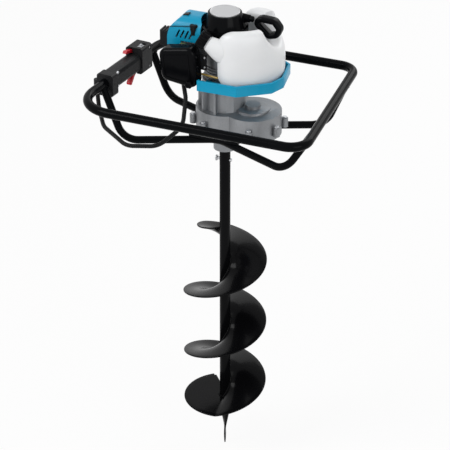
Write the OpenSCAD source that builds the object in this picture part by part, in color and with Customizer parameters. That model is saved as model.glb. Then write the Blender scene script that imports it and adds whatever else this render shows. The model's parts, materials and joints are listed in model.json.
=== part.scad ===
// Petrol earth auger: engine and reduction gearbox in a tubular handle frame, with a screw bit.
// Millimetres, +Z up. The origin is the bit's point on the ground, on the drive axis.

/* [Handle frame] */
// Length of the handle loop's front bar, at the sharp corners of its centreline
loop_front = 566; // [480:1:640]
// Length of the handle loop's rear bar, at the sharp corners of its centreline
loop_back = 482; // [420:1:600]
// Distance from the front bar to the rear bar
loop_depth = 456; // [400:1:520]
// Height of the loop's centreline over the leg tubes' centreline
loop_rise = 113; // [100:1:140]
// Outside diameter of the loop's tube
tube_d = 22; // [19:0.5:26]
// Wall of the loop's tube
tube_wall = 2; // [1.5:0.1:3]
// Bend radius of the loop's two left corners
loop_bend = 85; // [60:1:88]
// Bend radius of the loop's two right corners
loop_bend_right = 42; // [36:1:60]
// Outside diameter of the leg tubes
leg_d = 18; // [15:0.5:20]
// Wall of the leg tubes
leg_wall = 2; // [1.2:0.1:3]
// Bend radius of the leg tubes
leg_bend = 50; // [40:1:60]
// Height of the leg tubes' centreline over the ground
leg_height = 872; // [820:1:950]
// Sideways reach of a leg's lower corner
leg_reach = 202; // [190:1:212]
// Distance of the front leg's ends in front of the drive axis
leg_front_y = 93; // [90:1:98]
// Distance of the rear leg's ends behind the drive axis
leg_back_y = 137; // [132:1:142]
// Front to back distance of the legs' lower corners, from the drive axis
leg_wide_y = 130; // [122:1:136]
// Front to back distance of the leg tubes' middle, from the drive axis
leg_mid_y = 40; // [36:1:46]
// Thickness of the gearbox mount plate
plate_t = 8; // [6:0.5:12]

/* [Bit] */
// Diameter of the bit over its flight
bit_d = 203; // [150:1:230]
// Pitch of the flight
bit_pitch = 170; // [140:1:200]
// Height of the flight's flat lower end
flight_low = 140; // [130:1:160]
// Height at which the flight starts
flight_top = 616; // [560:1:680]
// Thickness of the flight
flight_t = 4; // [3:0.5:6]
// Outside diameter of the bit's shaft
bit_shaft_d = 26; // [24:0.5:30]
// Length of the pilot point
point_l = 104; // [80:1:120]
// Diameter of the drive pin
drive_pin_d = 8; // [6:0.5:10]

/* [Gearbox] */
// Distance between the drive axis and the layshaft
lay_x = 70; // [66:1:71]
// Outer radius of the gear case over each gear
case_r = 68; // [67:0.5:72]
// Wall of the gear case
case_wall = 4; // [3:0.5:5]
// Height of the lower gear case
case_low_h = 22; // [20:0.5:26]
// Height of the upper gear case's drums
case_up_h = 34; // [33:0.5:40]
// Height of the clutch neck over the drums
neck_h = 65; // [62:1:75]
// Outer radius of the clutch neck
neck_r = 50; // [48:1:54]
// Radius of the output shaft
out_r = 9; // [8:0.5:10]

/* [Engine] */
// Height of the cylinder's axis over the engine deck
cyl_rise = 78; // [75:1:84]
// Bore of the cylinder
bore_d = 44; // [40:1:46]
// Outer radius of the crankcase
crank_r = 48; // [46:1:50]
// Radius of the fan housing
fan_r = 54; // [52:1:55]
// Height of the fan housing's skirt
fan_h = 28; // [26:1:34]
// Radius of the recoil starter
recoil_r = 44; // [43:1:48]
// Height of the recoil starter over the fan housing
recoil_h = 32; // [30:1:38]
// Radius of the plain badge disc
badge_r = 35; // [28:1:38]

/* [Fuel tank and covers] */
// Height of the tank's lobes
tank_h = 142; // [132:1:148]
// Wall of the tank
tank_wall = 3; // [2:0.5:4]
// Thickness of the tank tray
tray_t = 3; // [2:0.5:4]
// Width of the tray's rim
tray_rim = 5.5; // [4:0.5:8]
// Height of the tray's rim
tray_h = 26; // [22:1:34]
// Radius of the fuel cap
cap_r = 20; // [18:0.5:22]
// Wall of the moulded covers
cover_wall = 2.5; // [2:0.5:3.5]

/* [Throttle control] */
// Length of the throttle housing's head
head_l = 46; // [44:1:50]
// Width of the throttle housing's head
grip_w = 46; // [44:1:52]
// Width of the throttle housing's hand grip
shaft_w = 38; // [36:1:42]
// Diameter of the throttle cable's sleeve
cable_d = 11; // [9:0.5:12]

/* [Hidden] */
$fn = 48;

// Clearances
run = 0.04;          // running fit of a shaft, radial
gap = 0.4;           // between faces that move past each other

// Fineness of swept tubes
bend_steps = 6;      // sections in a bend
tube_sides = 16;     // corners of a tube's section

// Heights
loop_z = leg_height + loop_rise;
plate_z = leg_height + leg_d / 2 * cos(180 / tube_sides) + plate_t;
split_z = plate_z + case_low_h;
drum_z = split_z + case_up_h;
deck_z = drum_z + neck_h;
cyl_z = deck_z + cyl_rise;
top_case_z = cyl_z + 30;
recoil_z = top_case_z + fan_h;
badge_z = recoil_z + recoil_h;

// Vectors and paths
function unit(v) = v / norm(v);
function corner_turn(a, b, c) = acos(max(-1, min(1, unit(b - a) * unit(c - b))));

// Sections of the bend at corner b: [point, direction]
function corner_arc(a, b, c, r) = let (u = unit(b - a), w = unit(c - b), turn = corner_turn(a, b, c),
    n = unit(w - u * (u * w)), o = b - u * r * tan(turn / 2) + n * r)
    [for (j = [0 : bend_steps]) let (f = turn * j / bend_steps)
        [o + r * (u * sin(f) - n * cos(f)), u * cos(f) + n * sin(f)]];

// Sections of an open path through points p, its corners bent to radius r, each end longer by more
function bent_path(p, r, more = 0) = let (n = len(p) - 1, u = unit(p[1] - p[0]), w = unit(p[n] - p[n - 1]))
    concat([[p[0] - u * more, u]],
        [for (i = [1 : n - 1]) each corner_arc(p[i - 1], p[i], p[i + 1], r)],
        [[p[n] + w * more, w]]);

// Sections of a closed path through corners p, each with its own radius in r
function closed_path(p, r) = let (n = len(p))
    [for (i = [0 : n - 1]) each corner_arc(p[(i + n - 1) % n], p[i], p[(i + 1) % n], r[i])];

// Smooth curve through points: Catmull-Rom between p[i] and p[i + 1]
function smooth_at(p, i, t) = let (n = len(p) - 1,
    a = p[max(0, i - 1)], b = p[i], c = p[i + 1], d = p[min(n, i + 2)])
    0.5 * (2 * b + (c - a) * t + (2 * a - 5 * b + 4 * c - d) * t * t + (3 * b - a - 3 * c + d) * t * t * t);
function smooth_path(p, k) = concat(
    [for (i = [0 : len(p) - 2], j = [0 : k - 1]) smooth_at(p, i, j / k)], [p[len(p) - 1]]);

// One section of a round tube of radius r: a flat of it faces along ref
function tube_ring(c, d, r, k, ref) = let (s = unit(cross(d, ref)), w = cross(s, d))
    [for (j = [0 : k - 1]) let (f = 360 * (j + 0.5) / k) c + r * (s * cos(f) + w * sin(f))];
function tube_rings(path, r, k = tube_sides, ref = [0, 0, 1]) =
    [for (q = path) tube_ring(q[0], q[1], r, k, ref)];

// Faces of a skin over n rings of m points, with flat ends or closed round on itself
function quad_faces(a, b, c, d, flip) = flip ? [[a, b, d], [b, c, d]] : [[a, b, c], [a, c, d]];
function side_faces(n, m, turns, flip) =
    [for (i = [0 : turns - 1], j = [0 : m - 1]) let (i2 = (i + 1) % n, j2 = (j + 1) % m)
    each quad_faces(i * m + j, i * m + j2, i2 * m + j2, i2 * m + j, j == flip)];
function end_faces(n, m) = [[for (j = [0 : m - 1]) m - 1 - j], [for (j = [0 : m - 1]) (n - 1) * m + j]];

// flip names the side whose quads split along their other diagonal
module skin(rings, closed = false, flip = -1) {
    n = len(rings);
    m = len(rings[0]);
    faces = closed ? side_faces(n, m, n, flip) : concat(side_faces(n, m, n - 1, flip), end_faces(n, m));
    polyhedron([for (r = rings) each r], faces, convexity = 10);
}

// A straight round bar from a to b
module round_bar(a, b, d) {
    v = b - a;
    translate(a) rotate([0, acos(v[2] / norm(v)), atan2(v[1], v[0])]) cylinder(d = d, h = norm(v));
}

// A plain box between two corners
module box(lo, hi) {
    translate(lo) cube(hi - lo);
}

// A flat ring between two radii
module ring(outer, inner, h) {
    difference() {
        cylinder(r = outer, h = h);
        translate([0, 0, -1]) cylinder(r = inner, h = h + 2);
    }
}

// Handle frame
function side_x(y) = loop_front / 2 + (loop_back - loop_front) / 2 * (y + loop_depth / 2) / loop_depth;
drain_d = 4;         // drain hole under the rear bar
loop_corners = [[loop_front / 2, -loop_depth / 2, loop_z], [loop_back / 2, loop_depth / 2, loop_z],
    [-loop_back / 2, loop_depth / 2, loop_z], [-loop_front / 2, -loop_depth / 2, loop_z]];

module handle_loop() {
    path = closed_path(loop_corners, [loop_bend_right, loop_bend_right, loop_bend, loop_bend]);
    color("#17181a") difference() {
        skin(tube_rings(path, tube_d / 2), closed = true);
        skin(tube_rings(path, tube_d / 2 - tube_wall), closed = true);
        translate([0, loop_depth / 2, loop_z - tube_d]) cylinder(d = drain_d, h = tube_d);
    }
}

// The solid outside of one side bar, s = -1 left and 1 right
module side_bar(s) {
    y = loop_depth / 2;
    round_bar([s * side_x(-y), -y, loop_z], [s * side_x(y), y, loop_z], tube_d);
}

// Centreline of a leg tube, s = -1 front and 1 rear
function leg_end(s) = s < 0 ? -leg_front_y : leg_back_y;
function leg_points(s) = [[-side_x(leg_end(s)), leg_end(s), loop_z],
    [-leg_reach, s * leg_wide_y, leg_height], [0, s * leg_mid_y, leg_height],
    [leg_reach, s * leg_wide_y, leg_height], [side_x(leg_end(s)), leg_end(s), loop_z]];

module leg_tube(s) {
    difference() {
        skin(tube_rings(bent_path(leg_points(s), leg_bend), leg_d / 2));
        skin(tube_rings(bent_path(leg_points(s), leg_bend, 5), leg_d / 2 - leg_wall));
        side_bar(-1);
        side_bar(1);
    }
}

module front_leg_tube() {
    color("#17181a") leg_tube(-1);
}

module rear_leg_tube() {
    color("#17181a") leg_tube(1);
}

// Mount plate under the gear case, with the bolts that hold it
plate_x = 62;
plate_y = 70;
boss_r = 27;
bolt_r = 4;
plate_bolts = [[-44, -20], [44, -20], [-44, 20], [44, 20]];

module mount_plate() {
    color("#1b1c1e") difference() {
        box([-plate_x, -plate_y, plate_z - plate_t], [plate_x, plate_y, plate_z]);
        translate([0, 0, plate_z - plate_t - 1]) cylinder(r = boss_r + 0.3, h = plate_t + 2);
        for (b = plate_bolts)
            translate([b[0], b[1], plate_z - plate_t - 1]) cylinder(r = bolt_r + 0.2, h = plate_t + 2);
    }
}

// Bit
helix_start = 23;    // plan angle of the flight at flight_ref
flight_ref = flight_low + 219;
bit_r = bit_d / 2;
shaft_r = bit_shaft_d / 2;
flight_inner = shaft_r + 0.15;
flight_steps = 36;   // sections a turn
flat_turn = 150;     // degrees of the flat lower end
taper_turn = 70;     // degrees over which the flight widens at its top
function flight_angle(z) = helix_start + 360 * (z - flight_ref) / bit_pitch;
top_angle = flight_angle(flight_top);
low_angle = flight_angle(flight_low);
end_angle = low_angle - flat_turn;
flight_n = ceil((top_angle - end_angle) * flight_steps / 360);
function flight_at(i) = top_angle + (end_angle - top_angle) * i / flight_n;
function flight_z(a) = a > low_angle ? flight_ref + (a - helix_start) * bit_pitch / 360 : flight_low;
flight_start_r = shaft_r + 8;
function flight_r(a) = let (t = min(1, (top_angle - a) / taper_turn))
    flight_start_r + (bit_r - flight_start_r) * sin(90 * t);
function flight_section(a) = let (i = flight_inner, o = flight_r(a))
    [for (q = [[i, 0], [i, flight_t], [o, flight_t], [o, 0]])
    [q[0] * cos(a), q[0] * sin(a), flight_z(a) + q[1]]];

module bit_flight() {
    color("#2a2b2d") skin([for (i = [0 : flight_n]) flight_section(flight_at(i))], flip = 3);
}

boss_h = 56;
boss_low = plate_z - boss_h;
socket_top = boss_low - 3;
socket_h = 60;
pin_z = socket_top - 28;

module bit_shaft() {
    color("#2a2b2d") difference() {
        translate([0, 0, point_l]) cylinder(r = shaft_r, h = socket_top - point_l);
        translate([0, 0, socket_top - socket_h]) cylinder(r = out_r + run, h = socket_h + 1);
        translate([0, 0, pin_z]) rotate([0, 90, 0]) cylinder(d = drive_pin_d, h = bit_d, center = true);
    }
}

module drive_pin() {
    color("silver") translate([0, 0, pin_z]) rotate([0, 90, 0]) {
        translate([0, 0, -shaft_r - 6]) cylinder(d = drive_pin_d - 0.1, h = 2 * shaft_r + 10);
        translate([0, 0, -shaft_r - 10]) cylinder(d = drive_pin_d + 6, h = 4);
    }
}

// Cutting blade bolted under the flight's leading edge
blade_l = bit_r - shaft_r - 4;
blade_w = 40;
blade_t = 6;

module cutting_blade() {
    color("#3a3b3d") rotate([0, 0, end_angle])
        translate([shaft_r + 2, -6, flight_low - blade_t])
            rotate([90, 0, 90])
                linear_extrude(blade_l)
                    polygon([[-8, -10], [-4, -10], [4, 0], [blade_w, 0], [blade_w, blade_t], [0, blade_t]]);
}

// Twisted fishtail point
point_t = 9;

module pilot_point() {
    color("#2a2b2d") translate([0, 0, point_l]) mirror([0, 0, 1])
        linear_extrude(point_l, twist = 120, scale = 0.12, slices = 10, $fn = 16)
            square([bit_shaft_d - 1, point_t], center = true);
}

// Gear teeth: involute flanks with a stub addendum and backlash
pressure = 20;
backlash = 0.3;
function inv(a) = tan(a) * 180 / PI - a;
function flank_half(z, m, r) = let (rp = z * m / 2, rb = rp * cos(pressure))
    90 / z - backlash / rp * 90 / PI + inv(pressure) - inv(acos(min(1, rb / r)));
function gear_outline(z, m) = let (rp = z * m / 2, ra = rp + 0.75 * m, rr = rp - 1.1 * m,
    rb = max(rp * cos(pressure), rr),
    rs = [rb, (rb + ra) / 2, ra])
    [for (i = [0 : z - 1]) let (c = 360 * i / z) each concat(
        [let (a = c - flank_half(z, m, rb)) [rr * cos(a), rr * sin(a)]],
        [for (k = [0 : 2]) let (a = c - flank_half(z, m, rs[k])) [rs[k] * cos(a), rs[k] * sin(a)]],
        [for (k = [2 : -1 : 0]) let (a = c + flank_half(z, m, rs[k])) [rs[k] * cos(a), rs[k] * sin(a)]],
        [let (a = c + flank_half(z, m, rb)) [rr * cos(a), rr * sin(a)]])];

module gear(z, m, h) {
    linear_extrude(h) polygon(gear_outline(z, m));
}

// First stage: clutch pinion and layshaft gear. Second stage: layshaft pinion and output gear.
pinion_teeth = 10;
lay_gear_teeth = 60;
lay_m = 2 * lay_x / (pinion_teeth + lay_gear_teeth);
out_gear_teeth = 46;
out_m = 2 * lay_x / (pinion_teeth + out_gear_teeth);
floor_t = 9;
out_gear_z = plate_z + floor_t + 2;
out_gear_h = 14;
lay_gear_z = out_gear_z + out_gear_h + 4;
lay_gear_h = 10;
ceiling_z = drum_z - case_wall;
lay_r = 7;
drum_shaft_r = 6.4;
bearing_h = 7;

module gearcase_outline(r) {
    circle(r = r);
    translate([lay_x, 0]) circle(r = r);
    translate([0, -r * 0.62]) square([lay_x, r * 1.24]);
}

// Bolt lugs round the split of the gear case
lug_r = 8;
lug_out = 6.5;
lug_bolt_r = 3;
lug_angles_main = [110, 160, 205, 250];
lug_angles_lay = [-75, -20, 25, 75];
lugs = concat([for (a = lug_angles_main) [(case_r + lug_out) * cos(a), (case_r + lug_out) * sin(a)]],
    [for (a = lug_angles_lay) [lay_x + (case_r + lug_out) * cos(a), (case_r + lug_out) * sin(a)]]);

module lug_row(r, h) {
    for (p = lugs) translate(p) cylinder(r = r, h = h);
}

out_bearing_r = 17;
lay_bearing_r = 13;
drum_bearing_r = 15;
lug_h = 11;

module gearcase_lower() {
    color("#a9adb1") difference() {
        union() {
            translate([0, 0, plate_z]) linear_extrude(case_low_h) gearcase_outline(case_r);
            translate([0, 0, split_z - lug_h]) lug_row(lug_r, lug_h);
            translate([0, 0, boss_low]) cylinder(r = boss_r, h = boss_h);
        }
        translate([0, 0, plate_z + floor_t]) linear_extrude(case_low_h) gearcase_outline(case_r - case_wall);
        translate([0, 0, boss_low - 1]) cylinder(r = out_bearing_r, h = boss_h + floor_t + 2);
        translate([lay_x, 0, plate_z + floor_t - bearing_h]) cylinder(r = lay_bearing_r, h = bearing_h + 1);
        for (b = plate_bolts) translate([b[0], b[1], plate_z - 1]) cylinder(r = bolt_r, h = floor_t - 1);
        translate([0, 0, split_z - lug_h - 1]) lug_row(lug_bolt_r, lug_h + 2);
    }
}

neck_wall = 4;
rib_t = 5;
rib_angles = [200, 235, 270, 160, 120, 90];

module gearcase_upper() {
    color("#b4b8bb") difference() {
        union() {
            translate([0, 0, split_z]) linear_extrude(case_up_h) gearcase_outline(case_r);
            translate([0, 0, split_z]) lug_row(lug_r, lug_h);
            translate([0, 0, drum_z]) cylinder(r = neck_r, h = neck_h);
            translate([lay_x, 0, drum_z]) cylinder(r = 40, h = 6);
            translate([lay_x, 0, drum_z]) cylinder(r = lay_bearing_r + 5, h = 14);
            for (a = rib_angles)
                rotate([0, 0, a]) translate([neck_r - 2, -rib_t / 2, drum_z]) cube([14, rib_t, neck_h - 6]);
        }
        translate([0, 0, split_z - 1])
            linear_extrude(ceiling_z - split_z + 1) gearcase_outline(case_r - case_wall);
        translate([0, 0, drum_z]) cylinder(r = neck_r - neck_wall, h = neck_h + 1);
        translate([0, 0, ceiling_z - 1]) cylinder(r = drum_bearing_r, h = case_wall + 2);
        translate([lay_x, 0, ceiling_z - 1]) cylinder(r = lay_bearing_r, h = bearing_h + 1);
        translate([0, 0, split_z - 1]) lug_row(lug_bolt_r, lug_h + 2);
    }
}

// Hex bolts through the mount plate and round the split
module hex_bolt(r, len) {
    head = 1.3 * r;
    cylinder(r = r - 0.1, h = len);
    translate([0, 0, -head]) cylinder(r = 1.8 * r, h = head, $fn = 6);
}

module case_bolts() {
    color("silver") {
        for (b = plate_bolts)
            translate([b[0], b[1], plate_z - plate_t]) hex_bolt(bolt_r, plate_t + floor_t - 3);
        for (p = lugs)
            translate([p[0], p[1], split_z + lug_h]) mirror([0, 0, 1]) hex_bolt(lug_bolt_r, 2 * lug_h - 1);
    }
}

module layshaft() {
    color("#8c8f92") translate([lay_x, 0, 0]) {
        translate([0, 0, plate_z + floor_t - bearing_h + 0.5])
            cylinder(r = lay_r, h = ceiling_z - plate_z - floor_t + 2 * bearing_h - 1);
        translate([0, 0, out_gear_z]) gear(pinion_teeth, out_m, out_gear_h + 1);
        translate([0, 0, lay_gear_z])
            rotate([0, 0, 180 / lay_gear_teeth]) gear(lay_gear_teeth, lay_m, lay_gear_h);
    }
}

module output_gear() {
    color("#8c8f92") translate([0, 0, out_gear_z]) rotate([0, 0, 180 / out_gear_teeth])
        difference() {
            gear(out_gear_teeth, out_m, out_gear_h);
            translate([0, 0, -1]) cylinder(r = out_r, h = out_gear_h + 2);
            for (a = [0 : 60 : 300])
                rotate([0, 0, a]) translate([33, 0, -1]) cylinder(r = 9, h = out_gear_h + 2);
        }
}

module output_shaft() {
    color("#b9bcbf") difference() {
        translate([0, 0, socket_top - socket_h + 2])
            cylinder(r = out_r, h = out_gear_z + out_gear_h - socket_top + socket_h - 2);
        translate([0, 0, pin_z]) rotate([0, 90, 0]) cylinder(d = drive_pin_d, h = bit_d, center = true);
    }
}

module bearing(outer, inner, z) {
    translate([0, 0, z]) difference() {
        ring(outer, inner + run, bearing_h);
        for (e = [-1, bearing_h - 0.8]) translate([0, 0, e]) ring(outer - 2.4, inner + 2.4, 1.8);
    }
}

out_bearing_top = plate_z - bearing_h;
out_bearing_low = boss_low + 8;

crank_shaft_r = 8;
crank_bearing_r = 16;
crank_bearing_low = cyl_z - 14 - bearing_h;

module bearings() {
    color("#c9ccd0") {
        bearing(out_bearing_r, out_r, out_bearing_top);
        bearing(out_bearing_r, out_r, out_bearing_low);
        translate([lay_x, 0, 0]) bearing(lay_bearing_r, lay_r, plate_z + floor_t - bearing_h);
        translate([lay_x, 0, 0]) bearing(lay_bearing_r, lay_r, ceiling_z);
        bearing(drum_bearing_r, drum_shaft_r, ceiling_z - bearing_h + case_wall);
        bearing(crank_bearing_r, crank_shaft_r, crank_bearing_low);
        bearing(crank_bearing_r, crank_shaft_r, cyl_z + 14);
    }
}

seal_h = out_bearing_low - boss_low;

module output_seal() {
    color("#1a1a1a") translate([0, 0, boss_low]) ring(out_bearing_r, out_r + 0.1, seal_h);
}

// Centrifugal clutch
drum_low = drum_z + 6;
drum_h = 34;
drum_r = 40;
drum_wall = 3;

module clutch_drum() {
    color("#8f9296") {
        translate([0, 0, lay_gear_z - 1]) gear(pinion_teeth, lay_m, lay_gear_h + 2);
        translate([0, 0, lay_gear_z]) cylinder(r = drum_shaft_r, h = drum_low - lay_gear_z + 1);
        difference() {
            translate([0, 0, drum_low]) cylinder(r = drum_r, h = drum_h);
            translate([0, 0, drum_low + drum_wall]) cylinder(r = drum_r - drum_wall, h = drum_h);
        }
    }
}

shoe_z = drum_low + drum_wall + 3;
shoe_h = 22;
shoe_r = drum_r - drum_wall - 1;

module clutch_shoes() {
    color("#6b6e72") {
        difference() {
            translate([0, 0, shoe_z]) ring(shoe_r, 18, shoe_h);
            for (a = [30, 210]) rotate([0, 0, a]) translate([17, -3, shoe_z - 1]) cube([shoe_r, 6, shoe_h + 2]);
        }
        translate([0, 0, shoe_z + 6]) difference() {
            cylinder(r = 18, h = shoe_h - 8);
            translate([0, 0, -1]) cylinder(r = crank_shaft_r, h = shoe_h);
        }
    }
}

// Engine core: vertical crank, cylinder pointing to -X
web_r = 30;
web_in = 6;
web_out = 13;
chamber = web_out + 1;
pad_x = -48;
pad_half = 30;
throw_r = 15;
rod_l = 60;
pin_x = -throw_r - rod_l;

module crankcase_shape(z0, z1) {
    translate([0, 0, z0]) cylinder(r = crank_r, h = z1 - z0);
    box([pad_x, -pad_half, max(z0, cyl_z - pad_half)], [-20, pad_half, min(z1, cyl_z + pad_half)]);
}

module crankcase_cuts() {
    translate([0, 0, cyl_z - chamber]) cylinder(r = web_r + 2, h = 2 * chamber);
    translate([0, 0, cyl_z - chamber - bearing_h]) cylinder(r = crank_bearing_r, h = 2 * (chamber + bearing_h));
    translate([0, 0, deck_z - 1]) cylinder(r = crank_shaft_r + 2, h = badge_z);
    translate([0, 0, cyl_z]) rotate([0, -90, 0]) cylinder(d = bore_d + 1, h = 90);
}

groove_w = 3;
groove_step = 7;

module cooling_grooves() {
    for (z = [deck_z + 14 : groove_step : cyl_z - pad_half - groove_w])
        translate([0, 0, z]) ring(crank_r + 1, crank_r - groove_w, groove_w);
}

module crankcase_lower() {
    color("#8d9195") difference() {
        union() {
            crankcase_shape(deck_z, cyl_z);
            translate([0, 0, deck_z]) cylinder(r = neck_r + 3, h = 8);
        }
        crankcase_cuts();
        translate([0, 0, deck_z - 1]) cylinder(r = crank_r - 5, h = cyl_rise - chamber - bearing_h - 5);
        cooling_grooves();
    }
}

fan_flange = 6;

module crankcase_upper() {
    color("#8d9195") difference() {
        union() {
            crankcase_shape(cyl_z, top_case_z);
            translate([0, 0, top_case_z - fan_flange]) cylinder(r = fan_r, h = fan_flange);
        }
        crankcase_cuts();
    }
}

crank_low = shoe_z + 4;
crank_top = recoil_z - 3;

module crankshaft() {
    color("#9a9da1") {
        translate([0, 0, crank_low]) cylinder(r = crank_shaft_r, h = cyl_z - web_in - crank_low);
        translate([0, 0, cyl_z - web_out]) cylinder(r = web_r, h = web_out - web_in);
        translate([0, 0, cyl_z + web_in]) cylinder(r = web_r, h = web_out - web_in);
        translate([0, 0, cyl_z + web_in]) cylinder(r = crank_shaft_r, h = crank_top - cyl_z - web_in);
    }
}

rod_half = 4.5;

module connecting_rod() {
    color("#a3a6aa") {
        translate([-throw_r, 0, cyl_z - rod_half]) cylinder(r = 10, h = 2 * rod_half);
        translate([-throw_r, 0, cyl_z - web_in + gap]) cylinder(r = 5, h = 2 * (web_in - gap));
        box([pin_x, -4, cyl_z - 3], [-throw_r, 4, cyl_z + 3]);
        translate([pin_x, 0, cyl_z - rod_half]) cylinder(r = 7, h = 2 * rod_half);
        translate([pin_x, 0, cyl_z - bore_d / 2 + 4.5]) cylinder(r = 4, h = bore_d - 9);
    }
}

crown_x = pin_x - 24;
piston_l = 36;

module piston() {
    color("#b5b8bb") translate([crown_x, 0, cyl_z]) rotate([0, 90, 0])
        difference() {
            cylinder(d = bore_d - 0.2, h = piston_l);
            translate([0, 0, 7]) cylinder(d = bore_d - 8, h = piston_l);
            for (g = [3, 6]) translate([0, 0, g]) difference() {
                cylinder(d = bore_d, h = 1.2);
                translate([0, 0, -1]) cylinder(d = bore_d - 3, h = 4);
            }
        }
}

head_x = crown_x - 3;
head_end = head_x - 14;
fin_half = 33;
cover_w = 84;
fin_y = cover_w / 2 - cover_wall - 0.3;
port_y = cover_w / 2;
port_x = pin_x + 4;

module cylinder_fins() {
    for (x = [pad_x - 14 : -7 : head_end]) box([x - 2, -fin_y, cyl_z - fin_half], [x, fin_y, cyl_z + fin_half]);
}

module cylinder_block() {
    translate([head_end, 0, cyl_z]) rotate([0, 90, 0]) cylinder(r = bore_d / 2 + 6, h = pad_x - head_end);
    box([pad_x - 6, -pad_half, cyl_z - pad_half], [pad_x, pad_half, cyl_z + pad_half]);
    cylinder_fins();
    box([port_x - 16, -port_y, cyl_z - 16], [port_x + 16, port_y, cyl_z + 16]);
}

plug_thread_r = 5;
port_r = 8;

module cylinder_barrel() {
    color("#9ea2a6") difference() {
        cylinder_block();
        translate([head_x, 0, cyl_z]) rotate([0, 90, 0]) cylinder(d = bore_d, h = 200);
        translate([head_end - 10, 0, cyl_z]) rotate([0, 90, 0]) cylinder(r = plug_thread_r, h = 40);
        translate([port_x, -port_y - 1, cyl_z]) rotate([-90, 0, 0]) cylinder(r = port_r, h = 2 * port_y + 2);
        translate([0, 0, top_case_z - fan_flange]) cylinder(r = fan_r + 0.3, h = fan_h);
    }
}

plug_hex_l = 10;
plug_end = head_end - 34;

module spark_plug() {
    color("#e4e2dc") translate([0, 0, cyl_z]) rotate([0, -90, 0]) {
        translate([0, 0, -head_x]) cylinder(r = plug_thread_r - 0.1, h = head_x - head_end);
        translate([0, 0, -head_end]) cylinder(r = 9, h = plug_hex_l, $fn = 6);
        translate([0, 0, -head_end + plug_hex_l]) cylinder(r = 6, h = head_end - plug_end - plug_hex_l);
    }
}

cap_box_l = 40;
cap_box_low = 15;
cap_box_high = 25;

module plug_cap() {
    color("#1d1e20") difference() {
        box([plug_end - 8, -15, cyl_z - cap_box_low], [plug_end - 8 + cap_box_l, 15, cyl_z + cap_box_high]);
        translate([plug_end - 1, 0, cyl_z]) rotate([0, 90, 0]) cylinder(r = 6.1, h = cap_box_l);
        translate([head_end - plug_hex_l - 1, 0, cyl_z]) rotate([0, 90, 0]) cylinder(r = 9.3, h = cap_box_l);
        for (x = [plug_end - 4 : 7 : plug_end + 17])
            box([x, -20, cyl_z + cap_box_high - 3], [x + 3, 20, cyl_z + 40]);
    }
}

// Arched outline: width w, height h, top corners rounded to r
module arch(w, h, r) {
    translate([-w / 2, 0]) square([w, h - r]);
    translate([r - w / 2, 0]) square([w - 2 * r, h]);
    for (s = [-1, 1]) translate([s * (w / 2 - r), h - r]) circle(r = r);
}

cover_x0 = head_end - 11;
cover_x1 = -44;
cover_low = cyl_z - 32;
cover_h = 106;
cover_r = 34;
cover_nose = 56;     // rounding of the far upper edge
nose_over = 3;       // height of its circle over the cover's flat top
louvre_n = 4;

module along_x(x0, x1, z) {
    translate([x0, 0, z]) rotate([90, 0, 90]) linear_extrude(x1 - x0) children();
}

// Side outline of the cover in X and Z, moved in by inset, its open sides longer by more
module cover_side(inset, more) {
    r = cover_nose - inset;
    x = cover_x0 + inset;
    h = cover_h - inset + more + nose_over;
    translate([x, cover_low - more]) square([cover_x1 + more - x, h - r]);
    translate([x + r, cover_low - more]) square([cover_x1 + more - x - r, h]);
    translate([x + r, cover_low - more + h - r]) circle(r = r);
}

module cover_shape(inset, more) {
    intersection() {
        along_x(cover_x0, cover_x1 + more, cover_low - more)
            arch(cover_w - 2 * inset, cover_h - inset + more, cover_r - inset);
        along_front(-cover_w, cover_w) cover_side(inset, more);
    }
}

module cylinder_cover() {
    color("#1a93b5") difference() {
        cover_shape(0, 0);
        cover_shape(cover_wall, 1);
        translate([0, 0, deck_z]) cylinder(r = fan_r + 0.5, h = badge_z);
        box([cover_x0 - 1, -16, cyl_z - 16], [cover_x0 + 10, 16, cyl_z + 26]);
        box([port_x - 22, -cover_w, cover_low - 1], [port_x + 30, cover_w, cyl_z + 19]);
        for (i = [0 : louvre_n - 1])
            translate([cover_x0 + 27 + 11 * i, -cover_w / 2, cyl_z + 36])
                rotate([0, 25, 0]) cube([4, 20, 22], center = true);
    }
}

// Hand knob that holds the cylinder cover
knob_at = [-62, -36, cover_low + cover_h - 22];

module cover_knob() {
    color("#3b3d40") difference() {
        translate(knob_at) {
            translate([0, 0, -14]) cylinder(r = 8, h = 24);
            for (a = [0 : 60 : 300]) rotate([0, 0, a]) translate([7, 0, -2]) cylinder(r = 3, h = 10);
        }
        cover_shape(0, 0);
    }
}

module flywheel() {
    color("#7f8387") difference() {
        union() {
            translate([0, 0, top_case_z + 3]) cylinder(r = fan_r - cover_wall - 4, h = 7);
            translate([0, 0, top_case_z + 3]) cylinder(r = 15, h = crank_top - top_case_z - 5);
            for (a = [0 : 24 : 348]) rotate([0, 0, a]) translate([24, -1, top_case_z + 9]) cube([22, 2, 12]);
        }
        translate([0, 0, top_case_z]) cylinder(r = crank_shaft_r, h = fan_h);
    }
}

coil_x = -28;

module ignition_coil() {
    color("#26282b") difference() {
        box([coil_x, crank_r - 14, cyl_z - 6], [coil_x + 30, crank_r + 14, top_case_z - 7]);
        translate([0, 0, deck_z]) cylinder(r = crank_r, h = badge_z);
    }
}

muffler_y = cover_w / 2 + 8;
muffler_d = 46;
muffler_half = 34;
muffler_low = 34;
muffler_high = 30;
muffler_wall = 2;
tail_r = 10;
tail_at = [port_x - 18, muffler_y + muffler_d, cyl_z - 18];
tail_l = 18;

// The muffler's box, moved in by inset
module muffler_box(inset) {
    box([port_x - muffler_half + inset, muffler_y + inset, cyl_z - muffler_low + inset],
        [port_x + muffler_half - inset, muffler_y + muffler_d - inset, cyl_z + muffler_high - inset]);
}

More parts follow.
